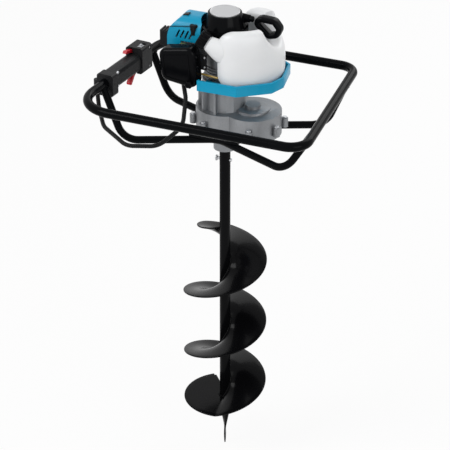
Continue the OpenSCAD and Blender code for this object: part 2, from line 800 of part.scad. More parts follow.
module muffler() {
    color("#4a4a48") difference() {
        union() {
            muffler_box(0);
            translate([port_x, port_y, cyl_z]) rotate([-90, 0, 0]) cylinder(r = port_r + 6, h = 12);
            translate(tail_at - [0, 6, 0]) rotate([-90, 0, 0]) cylinder(r = tail_r, h = tail_l + 6);
        }
        muffler_box(muffler_wall);
        translate([port_x, port_y - 1, cyl_z]) rotate([-90, 0, 0]) cylinder(r = port_r, h = 20);
        translate(tail_at - [0, 3, 0]) rotate([-90, 0, 0]) cylinder(r = tail_r - 2, h = tail_l + 10);
    }
}

// Intake: insulator, carburettor and air filter, stacked towards the front
insulator_l = 8;
carb_l = 18;
carb_y = port_y + insulator_l;
filter_y = carb_y + carb_l;
carb_half = 18;

module along_front(y0, y1) {
    translate([0, -y0, 0]) rotate([90, 0, 0]) linear_extrude(y1 - y0) children();
}

module insulator() {
    color("#2b2d30") along_front(port_y, carb_y) difference() {
        translate([port_x - 16, cyl_z - 16]) square(32);
        translate([port_x, cyl_z]) circle(r = port_r);
    }
}

primer_z = cyl_z + 9;
primer_y = carb_y + 9;
primer_r = 7;
primer_travel = 4;
choke_z = cyl_z - 11;
arm_y = carb_y + 9;

module carburettor() {
    color("#9b9ea0") difference() {
        along_front(carb_y, filter_y) translate([port_x - carb_half, cyl_z - carb_half]) square(2 * carb_half);
        along_front(carb_y - 1, filter_y + 1) translate([port_x, cyl_z]) circle(r = port_r);
        translate([port_x + carb_half - primer_travel - 1, -primer_y, primer_z])
            rotate([0, 90, 0]) cylinder(r = primer_r + gap, h = 20);
        translate([port_x + carb_half - 6, -primer_y, choke_z]) rotate([0, 90, 0]) cylinder(r = 2.5, h = 20);
        translate([port_x - 10, -arm_y, cyl_z + carb_half - 6]) cylinder(r = 2.5, h = 20);
    }
}

module primer_bulb() {
    color("#e9e4d2") translate([port_x + carb_half - 0.9, -primer_y, primer_z]) rotate([0, 90, 0]) {
        cylinder(r = primer_r, h = 3);
        translate([0, 0, 3]) intersection() {
            sphere(r = primer_r);
            cylinder(r = primer_r, h = primer_r);
        }
    }
}

module choke_lever() {
    color("#2b2d30") translate([port_x + carb_half, -primer_y, choke_z]) rotate([0, 90, 0]) {
        translate([0, 0, -5]) cylinder(r = 2.5 - run, h = 6);
        translate([0, 0, gap]) cylinder(r = 4.5, h = 3);
        translate([0, -3, gap]) cube([20, 6, 3]);
    }
}

module throttle_arm() {
    color("#c8a24a") translate([port_x - 10, -arm_y, cyl_z + carb_half]) {
        translate([0, 0, -5]) cylinder(r = 2.5 - run, h = 6);
        translate([0, 0, gap]) cylinder(r = 5, h = 3);
        translate([0, -3, gap]) cube([13, 6, 3]);
    }
}

// Air filter box, its outline in the X-Z plane
filter_corners = [[-125, deck_z + 94], [-36, deck_z + 110], [-27, deck_z + 7], [-117, deck_z + 19]];
filter_d = 32;
filter_r = 18;

// Rounded rectangle with its lower corner at the origin
module round_rect(w, h, r) {
    translate([r, 0]) square([w - 2 * r, h]);
    translate([0, r]) square([w, h - 2 * r]);
    for (x = [r, w - r], y = [r, h - r]) translate([x, y]) circle(r = r);
}

module filter_plan(inset) {
    offset(r = filter_r - inset) offset(delta = -filter_r) polygon(filter_corners);
}

filter_case_t = 6;
knob_x = -45;
knob_z = deck_z + 22;

module air_filter_case() {
    color("#202124") difference() {
        along_front(filter_y, filter_y + filter_case_t) filter_plan(cover_wall + 0.3);
        along_front(filter_y - 1, filter_y + filter_case_t + 1) translate([port_x, cyl_z]) circle(r = port_r);
        along_front(filter_y - 1, filter_y + filter_case_t + 1) translate([knob_x, knob_z]) circle(r = 3);
    }
}

module air_filter_element() {
    color("#5c6063") difference() {
        along_front(filter_y + filter_case_t, filter_y + filter_d - cover_wall - 2) filter_plan(cover_wall + 9);
        along_front(filter_y, filter_y + filter_d) translate([knob_x, knob_z]) circle(r = 9);
    }
}

module air_filter_cover() {
    color("#0f1012") difference() {
        along_front(filter_y, filter_y + filter_d) filter_plan(0);
        along_front(filter_y - 1, filter_y + filter_d - cover_wall) filter_plan(cover_wall);
        along_front(filter_y, filter_y + filter_d + 1) translate([knob_x, knob_z]) circle(r = 3.5);
    }
}

module air_filter_knob() {
    color("#1a1b1d") {
        along_front(filter_y + filter_d, filter_y + filter_d + 12) translate([knob_x, knob_z]) {
            circle(r = 8);
            for (a = [0 : 60 : 300]) rotate(a) translate([7, 0]) circle(r = 2.5);
        }
        along_front(filter_y + 1, filter_y + filter_d) translate([knob_x, knob_z]) circle(r = 2.9);
    }
}

// Recoil starter
rope_y = 26;
rope_z = recoil_z + 13;
rope_r = 2;
reel_r = rope_y - rope_r;
reel_z = rope_z - 6;
post_r = 8;
recoil_top_r = recoil_r - 5;
guide_x = 16;        // inner end of the rope guide
guide_r = 9;

module recoil_housing() {
    color("#141517") difference() {
        union() {
            translate([0, 0, top_case_z]) cylinder(r = fan_r, h = fan_h);
            translate([0, 0, recoil_z]) cylinder(r1 = recoil_r + 4, r2 = recoil_top_r, h = recoil_h);
            translate([guide_x, rope_y, rope_z])
                rotate([0, 90, 0]) cylinder(r1 = guide_r + 3, r2 = guide_r, h = grip_x - 2 - gap - guide_x);
        }
        difference() {
            union() {
                translate([0, 0, top_case_z - 1]) cylinder(r = fan_r - cover_wall, h = fan_h + 1 - cover_wall);
                translate([0, 0, top_case_z])
                    cylinder(r = recoil_top_r - cover_wall, h = badge_z - top_case_z - 4);
            }
            translate([0, 0, reel_z - 1]) cylinder(r = post_r, h = recoil_h);
        }
        translate([0, rope_y, rope_z]) rotate([0, 90, 0]) cylinder(r = rope_r + 0.3, h = 90);
        for (a = [200 : 20 : 340])
            rotate([0, 0, a]) translate([fan_r - 6, -2, top_case_z + 8]) cube([10, 4, 13]);
    }
}

badge_t = 3;

module recoil_badge() {
    color("#d4d6d8") translate([0, 0, badge_z]) cylinder(r = badge_r, h = badge_t);
}

module starter_reel() {
    color("#2d3034") translate([0, 0, reel_z]) difference() {
        union() {
            cylinder(r = reel_r + 4, h = 3);
            cylinder(r = reel_r - 1, h = 12);
            translate([0, 0, 9]) cylinder(r = reel_r + 4, h = 3);
        }
        translate([0, 0, -1]) cylinder(r = post_r + run, h = 20);
    }
}

// Flat spiral spring over the reel
spring_in = post_r + gap;
spring_turns = 5;
spring_step = 4;
spring_t = 1.2;
spring_z = reel_z + 12 + gap;
spring_h = 5;
function spiral(a, o) = let (r = spring_in + spring_step * a / 360 + o) [r * cos(a), r * sin(a)];

module recoil_spring() {
    color("#77797c") translate([0, 0, spring_z]) linear_extrude(spring_h)
        polygon(concat([for (a = [0 : 15 : 360 * spring_turns]) spiral(a, 0)],
            [for (a = [360 * spring_turns : -15 : 0]) spiral(a, spring_t)]));
}

// D-shaped grip in the rope's plane, outline points in X and Z from the rope's end
grip_x = recoil_r + 9;
grip_t = 24;
grip_w2 = 13;
grip_points = [[9, 0], [30, 6], [60, 4], [73, -12], [66, -28], [47, -33], [29, -17]];

// Thick line through points, width w
module thick_line(p, w) {
    for (i = [0 : len(p) - 2]) {
        v = p[i + 1] - p[i];
        translate(p[i]) circle(d = w);
        translate(p[i]) rotate(atan2(v[1], v[0])) translate([0, -w / 2]) square([norm(v), w]);
    }
    translate(p[len(p) - 1]) circle(d = w);
}

module starter_grip() {
    color("#141517") {
        translate([grip_x, rope_y + grip_t / 2, rope_z]) rotate([90, 0, 0])
            linear_extrude(grip_t) difference() {
                offset(r = grip_w2 / 2) polygon(grip_points);
                offset(r = -grip_w2 / 2) polygon(grip_points);
            }
        translate([grip_x - 2, rope_y, rope_z]) rotate([0, 90, 0]) cylinder(r = 7, h = 8);
    }
}

module starter_rope() {
    color("#e6e4df") translate([0, rope_y, rope_z]) rotate([0, 90, 0]) cylinder(r = rope_r, h = grip_x - 2);
}

// Tray round the engine's foot, and the fuel tank that stands in it
tray_z = deck_z + 8;
tray_plan = [[-27, -103], [70, -101], [137, -50], [150, -10], [136, 68], [76, 110], [-27, 110]];

module tank_tray() {
    color("#1a93b5") difference() {
        union() {
            translate([0, 0, tray_z]) linear_extrude(tray_t) polygon(tray_plan);
            translate([0, 0, tray_z]) linear_extrude(tray_h) difference() {
                polygon(tray_plan);
                offset(delta = -tray_rim) polygon(tray_plan);
                translate([-30, -94]) square([20, 196]);
            }
        }
        translate([0, 0, tray_z - 1]) cylinder(r = crank_r + 0.3, h = tray_h + 2);
    }
}

tank_low = tray_z + tray_t;
tank_top = tank_low + tank_h;
saddle_z = rope_z - 52;
tank_half = 22;      // half the tank's width across its run
tank_run = [[20, -74], [62, -66], [102, -34], [116, 10], [104, 52], [68, 80], [18, 80]];
tank_cuts = 4;       // sections between two points of the run
tank_sides = 20;     // corners of a section
end_shrink = [0.35, 0.72, 0.92, 1];

// Share of the full height along the run: 1 at both ends, low in the middle where the rope passes
function tank_rise(t) = 1 - pow(max(0, sin(180 * min(1, max(0, (t - 0.34) / 0.44)))), 0.6);
function tank_height(t) = saddle_z - tank_low + (tank_top - saddle_z) * tank_rise(t);

// Rounded section of the tank: superellipse of half width a and height h, lowest point at 0
function soft(v) = sign(v) * pow(abs(v), 0.55);
function tank_section(a, h) = [for (k = [0 : tank_sides - 1]) let (w = 360 * k / tank_sides)
    [a * soft(cos(w)), h / 2 + h / 2 * soft(sin(w))]];
function tank_ring(c, d, a, h, low) =
    [for (q = tank_section(a, h)) [c[0] + d[1] * q[0], c[1] - d[0] * q[0], low + q[1]]];
function end_scale(i, n) = end_shrink[min(len(end_shrink) - 1, i, n - i)];

module tank_body(inset) {
    run = smooth_path(tank_run, tank_cuts);
    n = len(run) - 1;
    skin([for (i = [0 : n]) let (
        d = unit(run[min(n, i + 1)] - run[max(0, i - 1)]),
        k = end_scale(i, n),
        full = tank_height(i / n) - 2 * inset,
        h = full * (0.5 + k / 2),
        out = (i == 0 ? -1 : i == n ? 1 : 0) * (tank_half * 0.3 - inset))
        tank_ring(run[i] + d * out, d, (tank_half - inset) * k, h, tank_low + inset + (full - h) / 2)]);
}

// Filler neck and cap, in a frame whose Z runs out of the neck
cap_at = [-20, -82, tank_top - 24];
cap_tilt = 60;
neck_out = 15;
neck_in = 11;
neck_root = 23;      // half width of the funnel at its root
neck_tall = 1.3;     // its height there over its width
neck_l = 54;
neck_straight = 14;
gasket_t = 2;

module at_cap() {
    translate(cap_at) rotate([0, -cap_tilt, 8]) children();
}

// Oval section of the funnel under the neck, t = 0 at its root and 1 at its top
function funnel_ring(t) = let (b = neck_root + (neck_out + 2 - neck_root) * t,
    a = b * (neck_tall + (1 - neck_tall) * t), z = -neck_l + (neck_l - neck_straight) * t)
    [for (j = [0 : 23]) [a * cos(15 * j), -b * sin(15 * j), z]];

module fuel_tank() {
    color("#e9eaec") difference() {
        union() {
            tank_body(0);
            at_cap() {
                skin([for (i = [0 : 4]) funnel_ring(i / 4)]);
                translate([0, 0, -neck_straight - 1]) cylinder(r = neck_out, h = neck_straight + 1);
            }
        }
        tank_body(tank_wall);
        at_cap() translate([0, 0, -neck_l + 4]) cylinder(r = neck_in, h = neck_l);
    }
}

cap_skirt = 12;
cap_roof = 9;

module fuel_cap() {
    color("#16171a") at_cap() difference() {
        union() {
            translate([0, 0, -cap_skirt]) cylinder(r = cap_r - 1.2, h = cap_skirt + gasket_t + cap_roof);
            for (a = [0 : 30 : 330]) rotate([0, 0, a])
                translate([cap_r - 2, 0, -cap_skirt]) cylinder(r = 2, h = cap_skirt + gasket_t + cap_roof - 2);
        }
        translate([0, 0, -cap_skirt - 1]) cylinder(r = neck_out + gap, h = cap_skirt + gasket_t + 1.1);
    }
}

module cap_gasket() {
    color("#33363a") at_cap() ring(neck_out - 0.3, neck_in, gasket_t);
}

line_r = 2.5;
line_x = port_x + 9;
line_low = cyl_z - carb_half - 26;
line_bend = 20;
line_points = [[line_x, -carb_y - 9, cyl_z - carb_half], [line_x, -carb_y - 9, line_low],
    [tank_run[0][0] - tank_half * 0.3 - 0.3, -72, line_low]];

module fuel_line() {
    color("#d8b24a") skin(tube_rings(bent_path(line_points, line_bend), line_r, 8, [0, 1, 0]));
}

// Throttle control on the left side bar, between the legs' ends: X inwards, Y along the bar, Z up
collar_l = 25;
leg_room_back = 38;  // from the head to the middle of the rear leg's end
leg_room_front = 10; // from the collar to the middle of the front leg's end
grip_back = leg_back_y - leg_room_back;
grip_front = collar_l + leg_room_front - leg_front_y;
grip_l = grip_back - grip_front;
grip_y = (grip_back + grip_front) / 2;
bar_turn = atan2((loop_front - loop_back) / 2, loop_depth);
bar_r = tube_d / 2;
head_low = 29;
head_high = 37;
head_y = grip_l / 2 - head_l;
shaft_half = 22;     // half the height of the hand grip
trigger_pivot = [head_y + 5.5, -18];
lever_pivot = [head_y + 11.5, 22];
pin_r = 2.5;
eye_r = 5.5;
slot_half = 6;
lever_x0 = -15;
lever_x1 = -5;
switch_x = 9;
switch_y = head_y + 10;
switch_l = 15;
switch_travel = 8;

module at_grip() {
    translate([-side_x(grip_y), grip_y, loop_z]) rotate([0, 0, -bar_turn]) children();
}

// Extrudes a Y-Z outline across X, from x0 to x1
module across(x0, x1) {
    translate([x0, 0, 0]) rotate([90, 0, 90]) linear_extrude(x1 - x0) children();
}

// Extrudes a rounded X-Z outline along the bar, from y0 to y1
module along_bar(y0, y1, w, low, high, r) {
    translate([0, y1, 0]) rotate([90, 0, 0]) linear_extrude(y1 - y0)
        translate([-w / 2, -low]) round_rect(w, low + high, r);
}

screw_y = grip_l / 2 - 8.5;
screw_places = [[-screw_y, 16.5], [screw_y, head_high - 9], [screw_y, 9 - head_low], [-screw_y, -16.5]];
screw_r = 2;
screw_head_r = 4;
screw_sunk = 4.5;
function screw_seat(q) = (q[0] < 0 ? shaft_w : grip_w) / 2 - screw_sunk;

module housing_block() {
    along_bar(-grip_l / 2, head_y, shaft_w, shaft_half, shaft_half, 12);
    along_bar(head_y, grip_l / 2, grip_w, head_low, head_high, 8);
}

module housing_cuts() {
    rotate([90, 0, 0]) cylinder(r = bar_r, h = 2 * grip_l, center = true);
    translate([0, trigger_pivot[0], 0])
        across(-slot_half - gap, slot_half + gap) polygon([[-34, -40], [-34, -11.6], [8, -11.6], [8, -40]]);
    translate([0, lever_pivot[0], lever_pivot[1]])
        across(lever_x0 - gap, lever_x1 + gap) polygon([[-13, -7], [-13, 12], [8, 12], [8, -7]]);
    box([switch_x - 6, switch_y - 1, head_high - 5],
        [switch_x + 6, switch_y + switch_l + switch_travel + 1, head_high + 5]);
    for (q = screw_places) translate([0, q[0], q[1]]) rotate([0, 90, 0]) {
        translate([0, 0, -screw_seat(q)]) cylinder(r = screw_r, h = 2 * screw_seat(q) + 1);
        translate([0, 0, screw_seat(q)]) cylinder(r = screw_head_r + 0.3, h = grip_w);
    }
}

module housing_pins() {
    across(-slot_half - 4, slot_half + 4) translate(trigger_pivot) circle(r = pin_r);
    across(lever_x0 - 3, lever_x1 + 3) translate(lever_pivot) circle(r = pin_r);
}

module throttle_housing_outer() {
    color("#2f3134") at_grip() {
        difference() {
            intersection() {
                housing_block();
                box([-grip_w, -grip_l, -grip_w], [0, grip_l, grip_w]);
            }
            housing_cuts();
        }
        housing_pins();
    }
}

module throttle_housing_inner() {
    color("#2f3134") at_grip() difference() {
        intersection() {
            housing_block();
            box([0, -grip_l, -grip_w], [grip_w, grip_l, grip_w]);
        }
        housing_cuts();
        housing_pins();
    }
}

module throttle_trigger() {
    color("#c8281e") at_grip() across(-slot_half, slot_half) translate(trigger_pivot) difference() {
        union() {
            thick_line([[0, 0], [-16, -10], [-30, -27]], 9);
            circle(r = eye_r);
        }
        circle(r = pin_r + run);
    }
}

module lock_off_lever() {
    color("#c8281e") at_grip() across(lever_x0, lever_x1) translate(lever_pivot) difference() {
        union() {
            polygon([[3, -3], [0, 6], [-12, 9], [-36, 14], [-40, 8], [-8, 2]]);
            circle(r = eye_r);
        }
        circle(r = pin_r + run);
    }
}

module stop_switch() {
    color("#b8bbbe") at_grip() {
        box([switch_x - 5.6, switch_y, head_high - 4.8], [switch_x + 5.6, switch_y + switch_l, head_high]);
        box([switch_x - 3, switch_y + 4, head_high], [switch_x + 3, switch_y + switch_l - 4, head_high + 4]);
    }
}

module throttle_screws() {
    color("silver") at_grip() for (q = screw_places) translate([0, q[0], q[1]]) rotate([0, 90, 0]) {
        translate([0, 0, 1 - screw_seat(q)]) cylinder(r = screw_r - 0.1, h = 2 * screw_seat(q) - 1);
        translate([0, 0, screw_seat(q)]) cylinder(r = screw_head_r, h = 2.5);
    }
}

collar_half = 22;
collar_low = 34;
cable_r = cable_d / 2;
gland_at = [-collar_half - 6, -grip_l / 2 - collar_l / 2, -26];
gland_h = 26;
bore_l = 16;

module cable_collar() {
    color("#2f3134") at_grip() difference() {
        union() {
            along_bar(-grip_l / 2 - collar_l, -grip_l / 2, 2 * collar_half, collar_low, collar_half, 8);
            translate(gland_at) cylinder(r = cable_r + 3, h = gland_h);
        }
        rotate([90, 0, 0]) cylinder(r = bar_r, h = 4 * grip_l, center = true);
        translate(gland_at - [0, 0, 1]) cylinder(r = cable_r, h = bore_l + 1);
    }
}

// Throttle cable: from the gland down past the front leg, below the front bar and up to the carburettor
cable_bend = 48;
gland_x = gland_at[0] * cos(bar_turn) + gland_at[1] * sin(bar_turn);
gland_y = gland_at[1] * cos(bar_turn) - gland_at[0] * sin(bar_turn);
cable_start = [gland_x - side_x(grip_y), gland_y + grip_y, loop_z + gland_at[2] + bore_l - 2];
cable_end = [port_x - 9, -carb_y - 9, cyl_z - carb_half];
cable_low = leg_height + 7;
cable_route = [cable_start, cable_start - [0, 0, 54], [-258, -118, cable_low + 12], [-176, -168, cable_low],
    [-100, -158, cable_low + 9], [-58, -112, cable_low + 47], [-66, -76, cable_low + 103],
    cable_end - [0, 0, 56], cable_end];
cable_ref = [0.3, 1, 0.1];

module throttle_cable() {
    color("#101113") skin(tube_rings(bent_path(cable_route, cable_bend), cable_r - 0.2, 10, cable_ref));
}

handle_loop();
front_leg_tube();
rear_leg_tube();
mount_plate();
case_bolts();
throttle_housing_outer();
throttle_housing_inner();
throttle_trigger();
lock_off_lever();
stop_switch();
throttle_screws();
cable_collar();
throttle_cable();
gearcase_lower();
gearcase_upper();
layshaft();
output_gear();
output_shaft();
bearings();
output_seal();
clutch_drum();
clutch_shoes();
crankcase_lower();
crankcase_upper();
crankshaft();
connecting_rod();
piston();
cylinder_barrel();
cylinder_cover();
cover_knob();
spark_plug();
plug_cap();
flywheel();
ignition_coil();
muffler();
insulator();
carburettor();
throttle_arm();
choke_lever();
primer_bulb();
air_filter_case();
air_filter_element();
air_filter_cover();
air_filter_knob();
recoil_housing();
recoil_badge();
starter_reel();
recoil_spring();
starter_rope();
starter_grip();
fuel_tank();
fuel_cap();
cap_gasket();
fuel_line();
tank_tray();
bit_shaft();
bit_flight();
cutting_blade();
pilot_point();
drive_pin();
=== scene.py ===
"""Looks of an earth auger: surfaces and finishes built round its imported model."""

import json
import math

import bmesh
import bpy
import numpy as np
from bpy.props import FloatProperty, FloatVectorProperty, PointerProperty
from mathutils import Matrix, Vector


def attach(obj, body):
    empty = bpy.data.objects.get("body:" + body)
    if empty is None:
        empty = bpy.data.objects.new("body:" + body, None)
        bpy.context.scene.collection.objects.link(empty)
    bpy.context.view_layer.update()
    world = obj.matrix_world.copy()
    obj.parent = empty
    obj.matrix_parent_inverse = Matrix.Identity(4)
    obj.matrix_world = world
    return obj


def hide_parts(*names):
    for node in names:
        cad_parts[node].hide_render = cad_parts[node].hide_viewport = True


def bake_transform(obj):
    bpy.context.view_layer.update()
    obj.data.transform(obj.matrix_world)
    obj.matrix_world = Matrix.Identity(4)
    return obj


bl_info = {
    "name": "Earth auger looks",
    "version": (1, 0, 0),
    "blender": (4, 5, 0),
    "location": "View3D > Sidebar > Auger",
    "description": "Builds the visible surfaces and finishes of an earth auger",
    "category": "Object",
}

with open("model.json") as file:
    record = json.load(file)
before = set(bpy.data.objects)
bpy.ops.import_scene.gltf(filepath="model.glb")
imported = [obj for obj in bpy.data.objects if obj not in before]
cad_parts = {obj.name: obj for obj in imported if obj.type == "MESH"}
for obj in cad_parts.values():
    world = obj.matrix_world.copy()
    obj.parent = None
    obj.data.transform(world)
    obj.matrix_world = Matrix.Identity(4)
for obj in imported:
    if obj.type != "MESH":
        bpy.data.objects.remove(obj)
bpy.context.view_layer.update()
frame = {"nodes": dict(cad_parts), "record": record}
RECORD = frame["record"]
SLOT_OF = {part["node"]: part["material_slot"] for part in RECORD["subparts"]}
BODY_OF = {node: body for body, nodes in RECORD["behaviour"]["bodies"].items() for node in nodes}
FINISHES = {}

MM = 0.001
TURN = 2 * np.pi
BACK = np.array((0.0, 1.0, 0.0))
UP = np.array((0.0, 0.0, 1.0))
WHITE = (1.0, 1.0, 1.0, 1.0)

# Heights of the part's own levels, in mm, as its source works them out
LEG_Z, LOOP_RISE = 872.0, 113
LEG_TUBE_R, TUBE_SIDES, PLATE_T = 9, 16, 8
CASE_LOW_H, CASE_UP_H, NECK_H = 22, 34, 65
CYL_RISE, CASE_RISE, FAN_H, RECOIL_H, ROPE_RISE = 78, 30, 28, 32, 13
TRAY_RISE, TRAY_T, TANK_H, SADDLE_DROP = 8, 3, 142, 52
LOOP_Z = LEG_Z + LOOP_RISE
PLATE_Z = LEG_Z + LEG_TUBE_R * math.cos(math.pi / TUBE_SIDES) + PLATE_T
DRUM_Z = PLATE_Z + CASE_LOW_H + CASE_UP_H
DECK_Z = DRUM_Z + NECK_H
CYL_Z = DECK_Z + CYL_RISE
RECOIL_Z = CYL_Z + CASE_RISE + FAN_H
BADGE_Z = RECOIL_Z + RECOIL_H
ROPE_Z = RECOIL_Z + ROPE_RISE
TANK_LOW = DECK_Z + TRAY_RISE + TRAY_T
TANK_TOP = TANK_LOW + TANK_H
SADDLE_Z = ROPE_Z - SADDLE_DROP


# Sizes and colours that a user would change


class AugerSizes(bpy.types.PropertyGroup):
    """Sizes of the surfaces that the scene builds."""

    tube_d: FloatProperty(
        name="Handle tube", description="Outside diameter of the handle loop", default=0.022, unit="LENGTH")
    leg_d: FloatProperty(
        name="Leg tube", description="Outside diameter of the leg tubes", default=0.018, unit="LENGTH")
    bit_d: FloatProperty(
        name="Bit", description="Diameter that the bit drills", default=0.203, unit="LENGTH")
    cable_d: FloatProperty(
        name="Cable", description="Outside diameter of the throttle cable", default=0.0106, unit="LENGTH")
    hose_d: FloatProperty(
        name="Fuel hose", description="Outside diameter of the fuel hose", default=0.005, unit="LENGTH")
    edge: FloatProperty(
        name="Edge", description="Rounding of an edge that has no width of its own", default=0.0012, unit="LENGTH")


class AugerColours(bpy.types.PropertyGroup):
    """Main colours of the finishes."""

    paint: FloatVectorProperty(
        name="Frame paint", description="Gloss paint of the tubes",
        default=(0.0025, 0.0028, 0.0034), subtype="COLOR")
    bit: FloatVectorProperty(
        name="Bit paint", description="Paint of the bit", default=(0.0025, 0.0025, 0.003), subtype="COLOR")
    shell: FloatVectorProperty(
        name="Engine shell", description="Moulded cover and tray", default=(0.004, 0.3, 0.5), subtype="COLOR")
    tank: FloatVectorProperty(
        name="Tank", description="Milky fuel tank", default=(0.80, 0.81, 0.82), subtype="COLOR")
    casting: FloatVectorProperty(
        name="Casting", description="Cast light alloy", default=(0.27, 0.278, 0.29), subtype="COLOR")
    control: FloatVectorProperty(
        name="Controls", description="Trigger and lock lever", default=(0.52, 0.008, 0.02), subtype="COLOR")


class AugerStage(bpy.types.PropertyGroup):
    """Place and lens of the camera."""

    lens: FloatProperty(
        name="Lens", description="Focal length on a 36 mm sensor", default=180.0, unit="CAMERA")
    azimuth: FloatProperty(
        name="Azimuth", description="Turn of the camera round the part",
        default=math.radians(23.0), subtype="ANGLE")
    pitch: FloatProperty(
        name="Pitch", description="How far the camera looks down", default=math.radians(28.5), subtype="ANGLE")
    distance: FloatProperty(
        name="Distance", description="Level distance from the drive axis", default=4.742, unit="LENGTH")
    height: FloatProperty(
        name="Height", description="Height of the camera", default=3.199, unit="LENGTH")


# Shader maths


class Val:
    """One output socket of a node tree; the operators on it add Math nodes."""

    def __init__(self, nodes, socket):
        self.nodes, self.socket = nodes, socket

    def _math(self, operation, *values):
        return self.nodes.node("Math", {"operation": operation}, dict(enumerate(values)))

    def __add__(self, b):
        return self._math("ADD", self, b)

    __radd__ = __add__

    def __sub__(self, b):
        return self._math("SUBTRACT", self, b)

    def __rsub__(self, a):
        return self._math("SUBTRACT", a, self)

    def __mul__(self, b):
        return self._math("MULTIPLY", self, b)

    __rmul__ = __mul__

    def sine(self):
        return self._math("SINE", self)

    def most(self, b):
        """The larger of the two."""
        return self._math("MAXIMUM", self, b)

    def over(self, low, high):
        """0 below low, 1 above high and smooth between."""
        return self.nodes.node(
            "MapRange", {"interpolation_type": "SMOOTHSTEP"}, {"Value": self, "From Min": low, "From Max": high})


class Nodes:
    """A node tree to which one method adds every node."""

    def __init__(self, tree):
        self.tree = tree

    def node(self, kind, settings=None, inputs=None, out=0):
        """A node of a kind, its settings set first, then its sockets; returns one output."""
        made = self.tree.nodes.new("ShaderNode" + kind)
        for key, value in (settings or {}).items():
            setattr(made, key, value)
        for key, value in (inputs or {}).items():
            self.feed(made.inputs[key], value)
        return Val(self, made.outputs[out])

    def feed(self, socket, value):
        """The socket gets a link from a value of the tree, or else a plain number or colour."""
        if isinstance(value, Val):
            self.tree.links.new(value.socket, socket)
        else:
            socket.default_value = value

    def seen_directly(self):
        """1 for camera, glossy and transmission rays, 0 for the rays that light the part."""
        seen = self.node("LightPath", out="Is Camera Ray")
        for ray in ("Is Glossy Ray", "Is Transmission Ray"):
            seen = seen.most(self.node("LightPath", out=ray))
        return seen


class Finish(Nodes):
    """A node material whose Principled sockets take numbers, colours or links."""

    def __init__(self, name):
        self.material = bpy.data.materials.new(name)
        self.material.use_nodes = True
        super().__init__(self.material.node_tree)
        self.shader = self.tree.nodes["Principled BSDF"]
        self.place = self.node("TexCoord", out="Object")

    def stretched(self, scale):
        """Object coordinates scaled along each axis."""
        return self.node("Mapping", None, {"Vector": self.place, "Scale": scale})

    def noise(self, scale, detail, rough, place=None):
        """Cloudy noise on Object coordinates, or on the place given."""
        sockets = {"Vector": place or self.place, "Scale": scale, "Detail": detail, "Roughness": rough}
        return self.node("TexNoise", None, sockets, "Fac")

    def cells(self, scale):
        """Distance to the nearest of many scattered points."""
        return self.node("TexVoronoi", None, {"Vector": self.place, "Scale": scale}, "Distance")

    def mix(self, amount, a, b):
        """Colour a at 0 and b at 1; sockets 6, 7 and 2 are the node's own colour ones."""
        return self.node("Mix", {"data_type": "RGBA"}, {0: amount, 6: rgba(a), 7: rgba(b)}, 2)

    def bump(self, height, depth):
        return self.node("Bump", None, {"Height": height, "Distance": depth}, "Normal")

    def sockets(self, **values):
        """Feeds the shader's sockets, named with _ for a space, and returns the material."""
        for key, value in values.items():
            self.feed(self.shader.inputs[key.replace("_", " ")], value)
        return self.material


def rgba(colour):
    return colour if isinstance(colour, Val) else (*colour[:3], 1.0)


def shade(colour, factor):
    """The colour made lighter or darker by a factor."""
    return tuple(min(1.0, c * factor) for c in colour[:3])


# Finishes


def moulded(name, colour, rough, grain, depth, coat=0.0, patch=0.12, shine=0.5):
    """Moulded plastic or rubber: fine spark grain in the bump, faint flow marks in colour and roughness."""
    f = Finish(name)
    flow = f.noise(26.0, detail=4.0, rough=0.6)
    fine = f.noise(grain, detail=3.0, rough=0.6)
    return f.sockets(
        Base_Color=f.mix(flow, shade(colour, 1 - patch), shade(colour, 1 + patch)),
        Roughness=rough - 0.05 + flow * 0.1 + fine * 0.04,
        Specular_IOR_Level=shine,
        Coat_Weight=coat,
        Coat_Roughness=0.12,
        Normal=f.bump(fine, depth),
    )


def painted(name, colour, rough, coat, shine, scuffs=0.05):
    """Sprayed paint: orange peel, a little handling haze and thin scuffs along the height."""
    f = Finish(name)
    peel = f.noise(260.0, detail=2.0, rough=0.5)
    haze = f.noise(14.0, detail=5.0, rough=0.65)
    scuff = f.noise(90.0, detail=6.0, rough=0.75, place=f.stretched((1.0, 1.0, 0.25))).over(0.62, 0.75)
    tone = f.mix(haze, shade(colour, 0.75), shade(colour, 1.35))
    tone = f.mix(scuff * scuffs, tone, shade(colour, 6.0))
    return f.sockets(
        Base_Color=tone,
        Roughness=rough + haze * 0.1 + scuff * 0.1,
        Specular_IOR_Level=shine,
        Coat_Weight=coat,
        Coat_Roughness=0.08,
        Normal=f.bump(peel, depth=0.00012),
    )


def cast(name, colour, rough, depth):
    """Sand or die cast alloy: pitted grain, cloudy tone and darker hollows."""
    f = Finish(name)
    grain = f.noise(700.0, detail=4.0, rough=0.7)
    pits = f.cells(420.0).over(0.0, 0.35)
    cloud = f.noise(22.0, detail=5.0, rough=0.6)
    tone = f.mix(cloud, shade(colour, 0.78), shade(colour, 1.18))
    return f.sockets(
        Base_Color=f.mix(pits, shade(colour, 0.6), tone),
        Metallic=0.8,
        Roughness=rough - 0.06 + cloud * 0.12 + grain * 0.08,
        Normal=f.bump(grain * 0.6 + pits * 0.4, depth),
    )


def turned(name, colour, rough, scale):
    """Machined or plated metal: fine tool lines along the stretched axis."""
    f = Finish(name)
    lines = f.noise(900.0, detail=3.0, rough=0.6, place=f.stretched(scale))
    cloud = f.noise(40.0, detail=4.0, rough=0.6)
    return f.sockets(
        Base_Color=f.mix(cloud, shade(colour, 0.82), shade(colour, 1.12)),
        Metallic=1.0,
        Roughness=rough + lines * 0.12 + cloud * 0.06,
        Normal=f.bump(lines, depth=0.00004),
    )


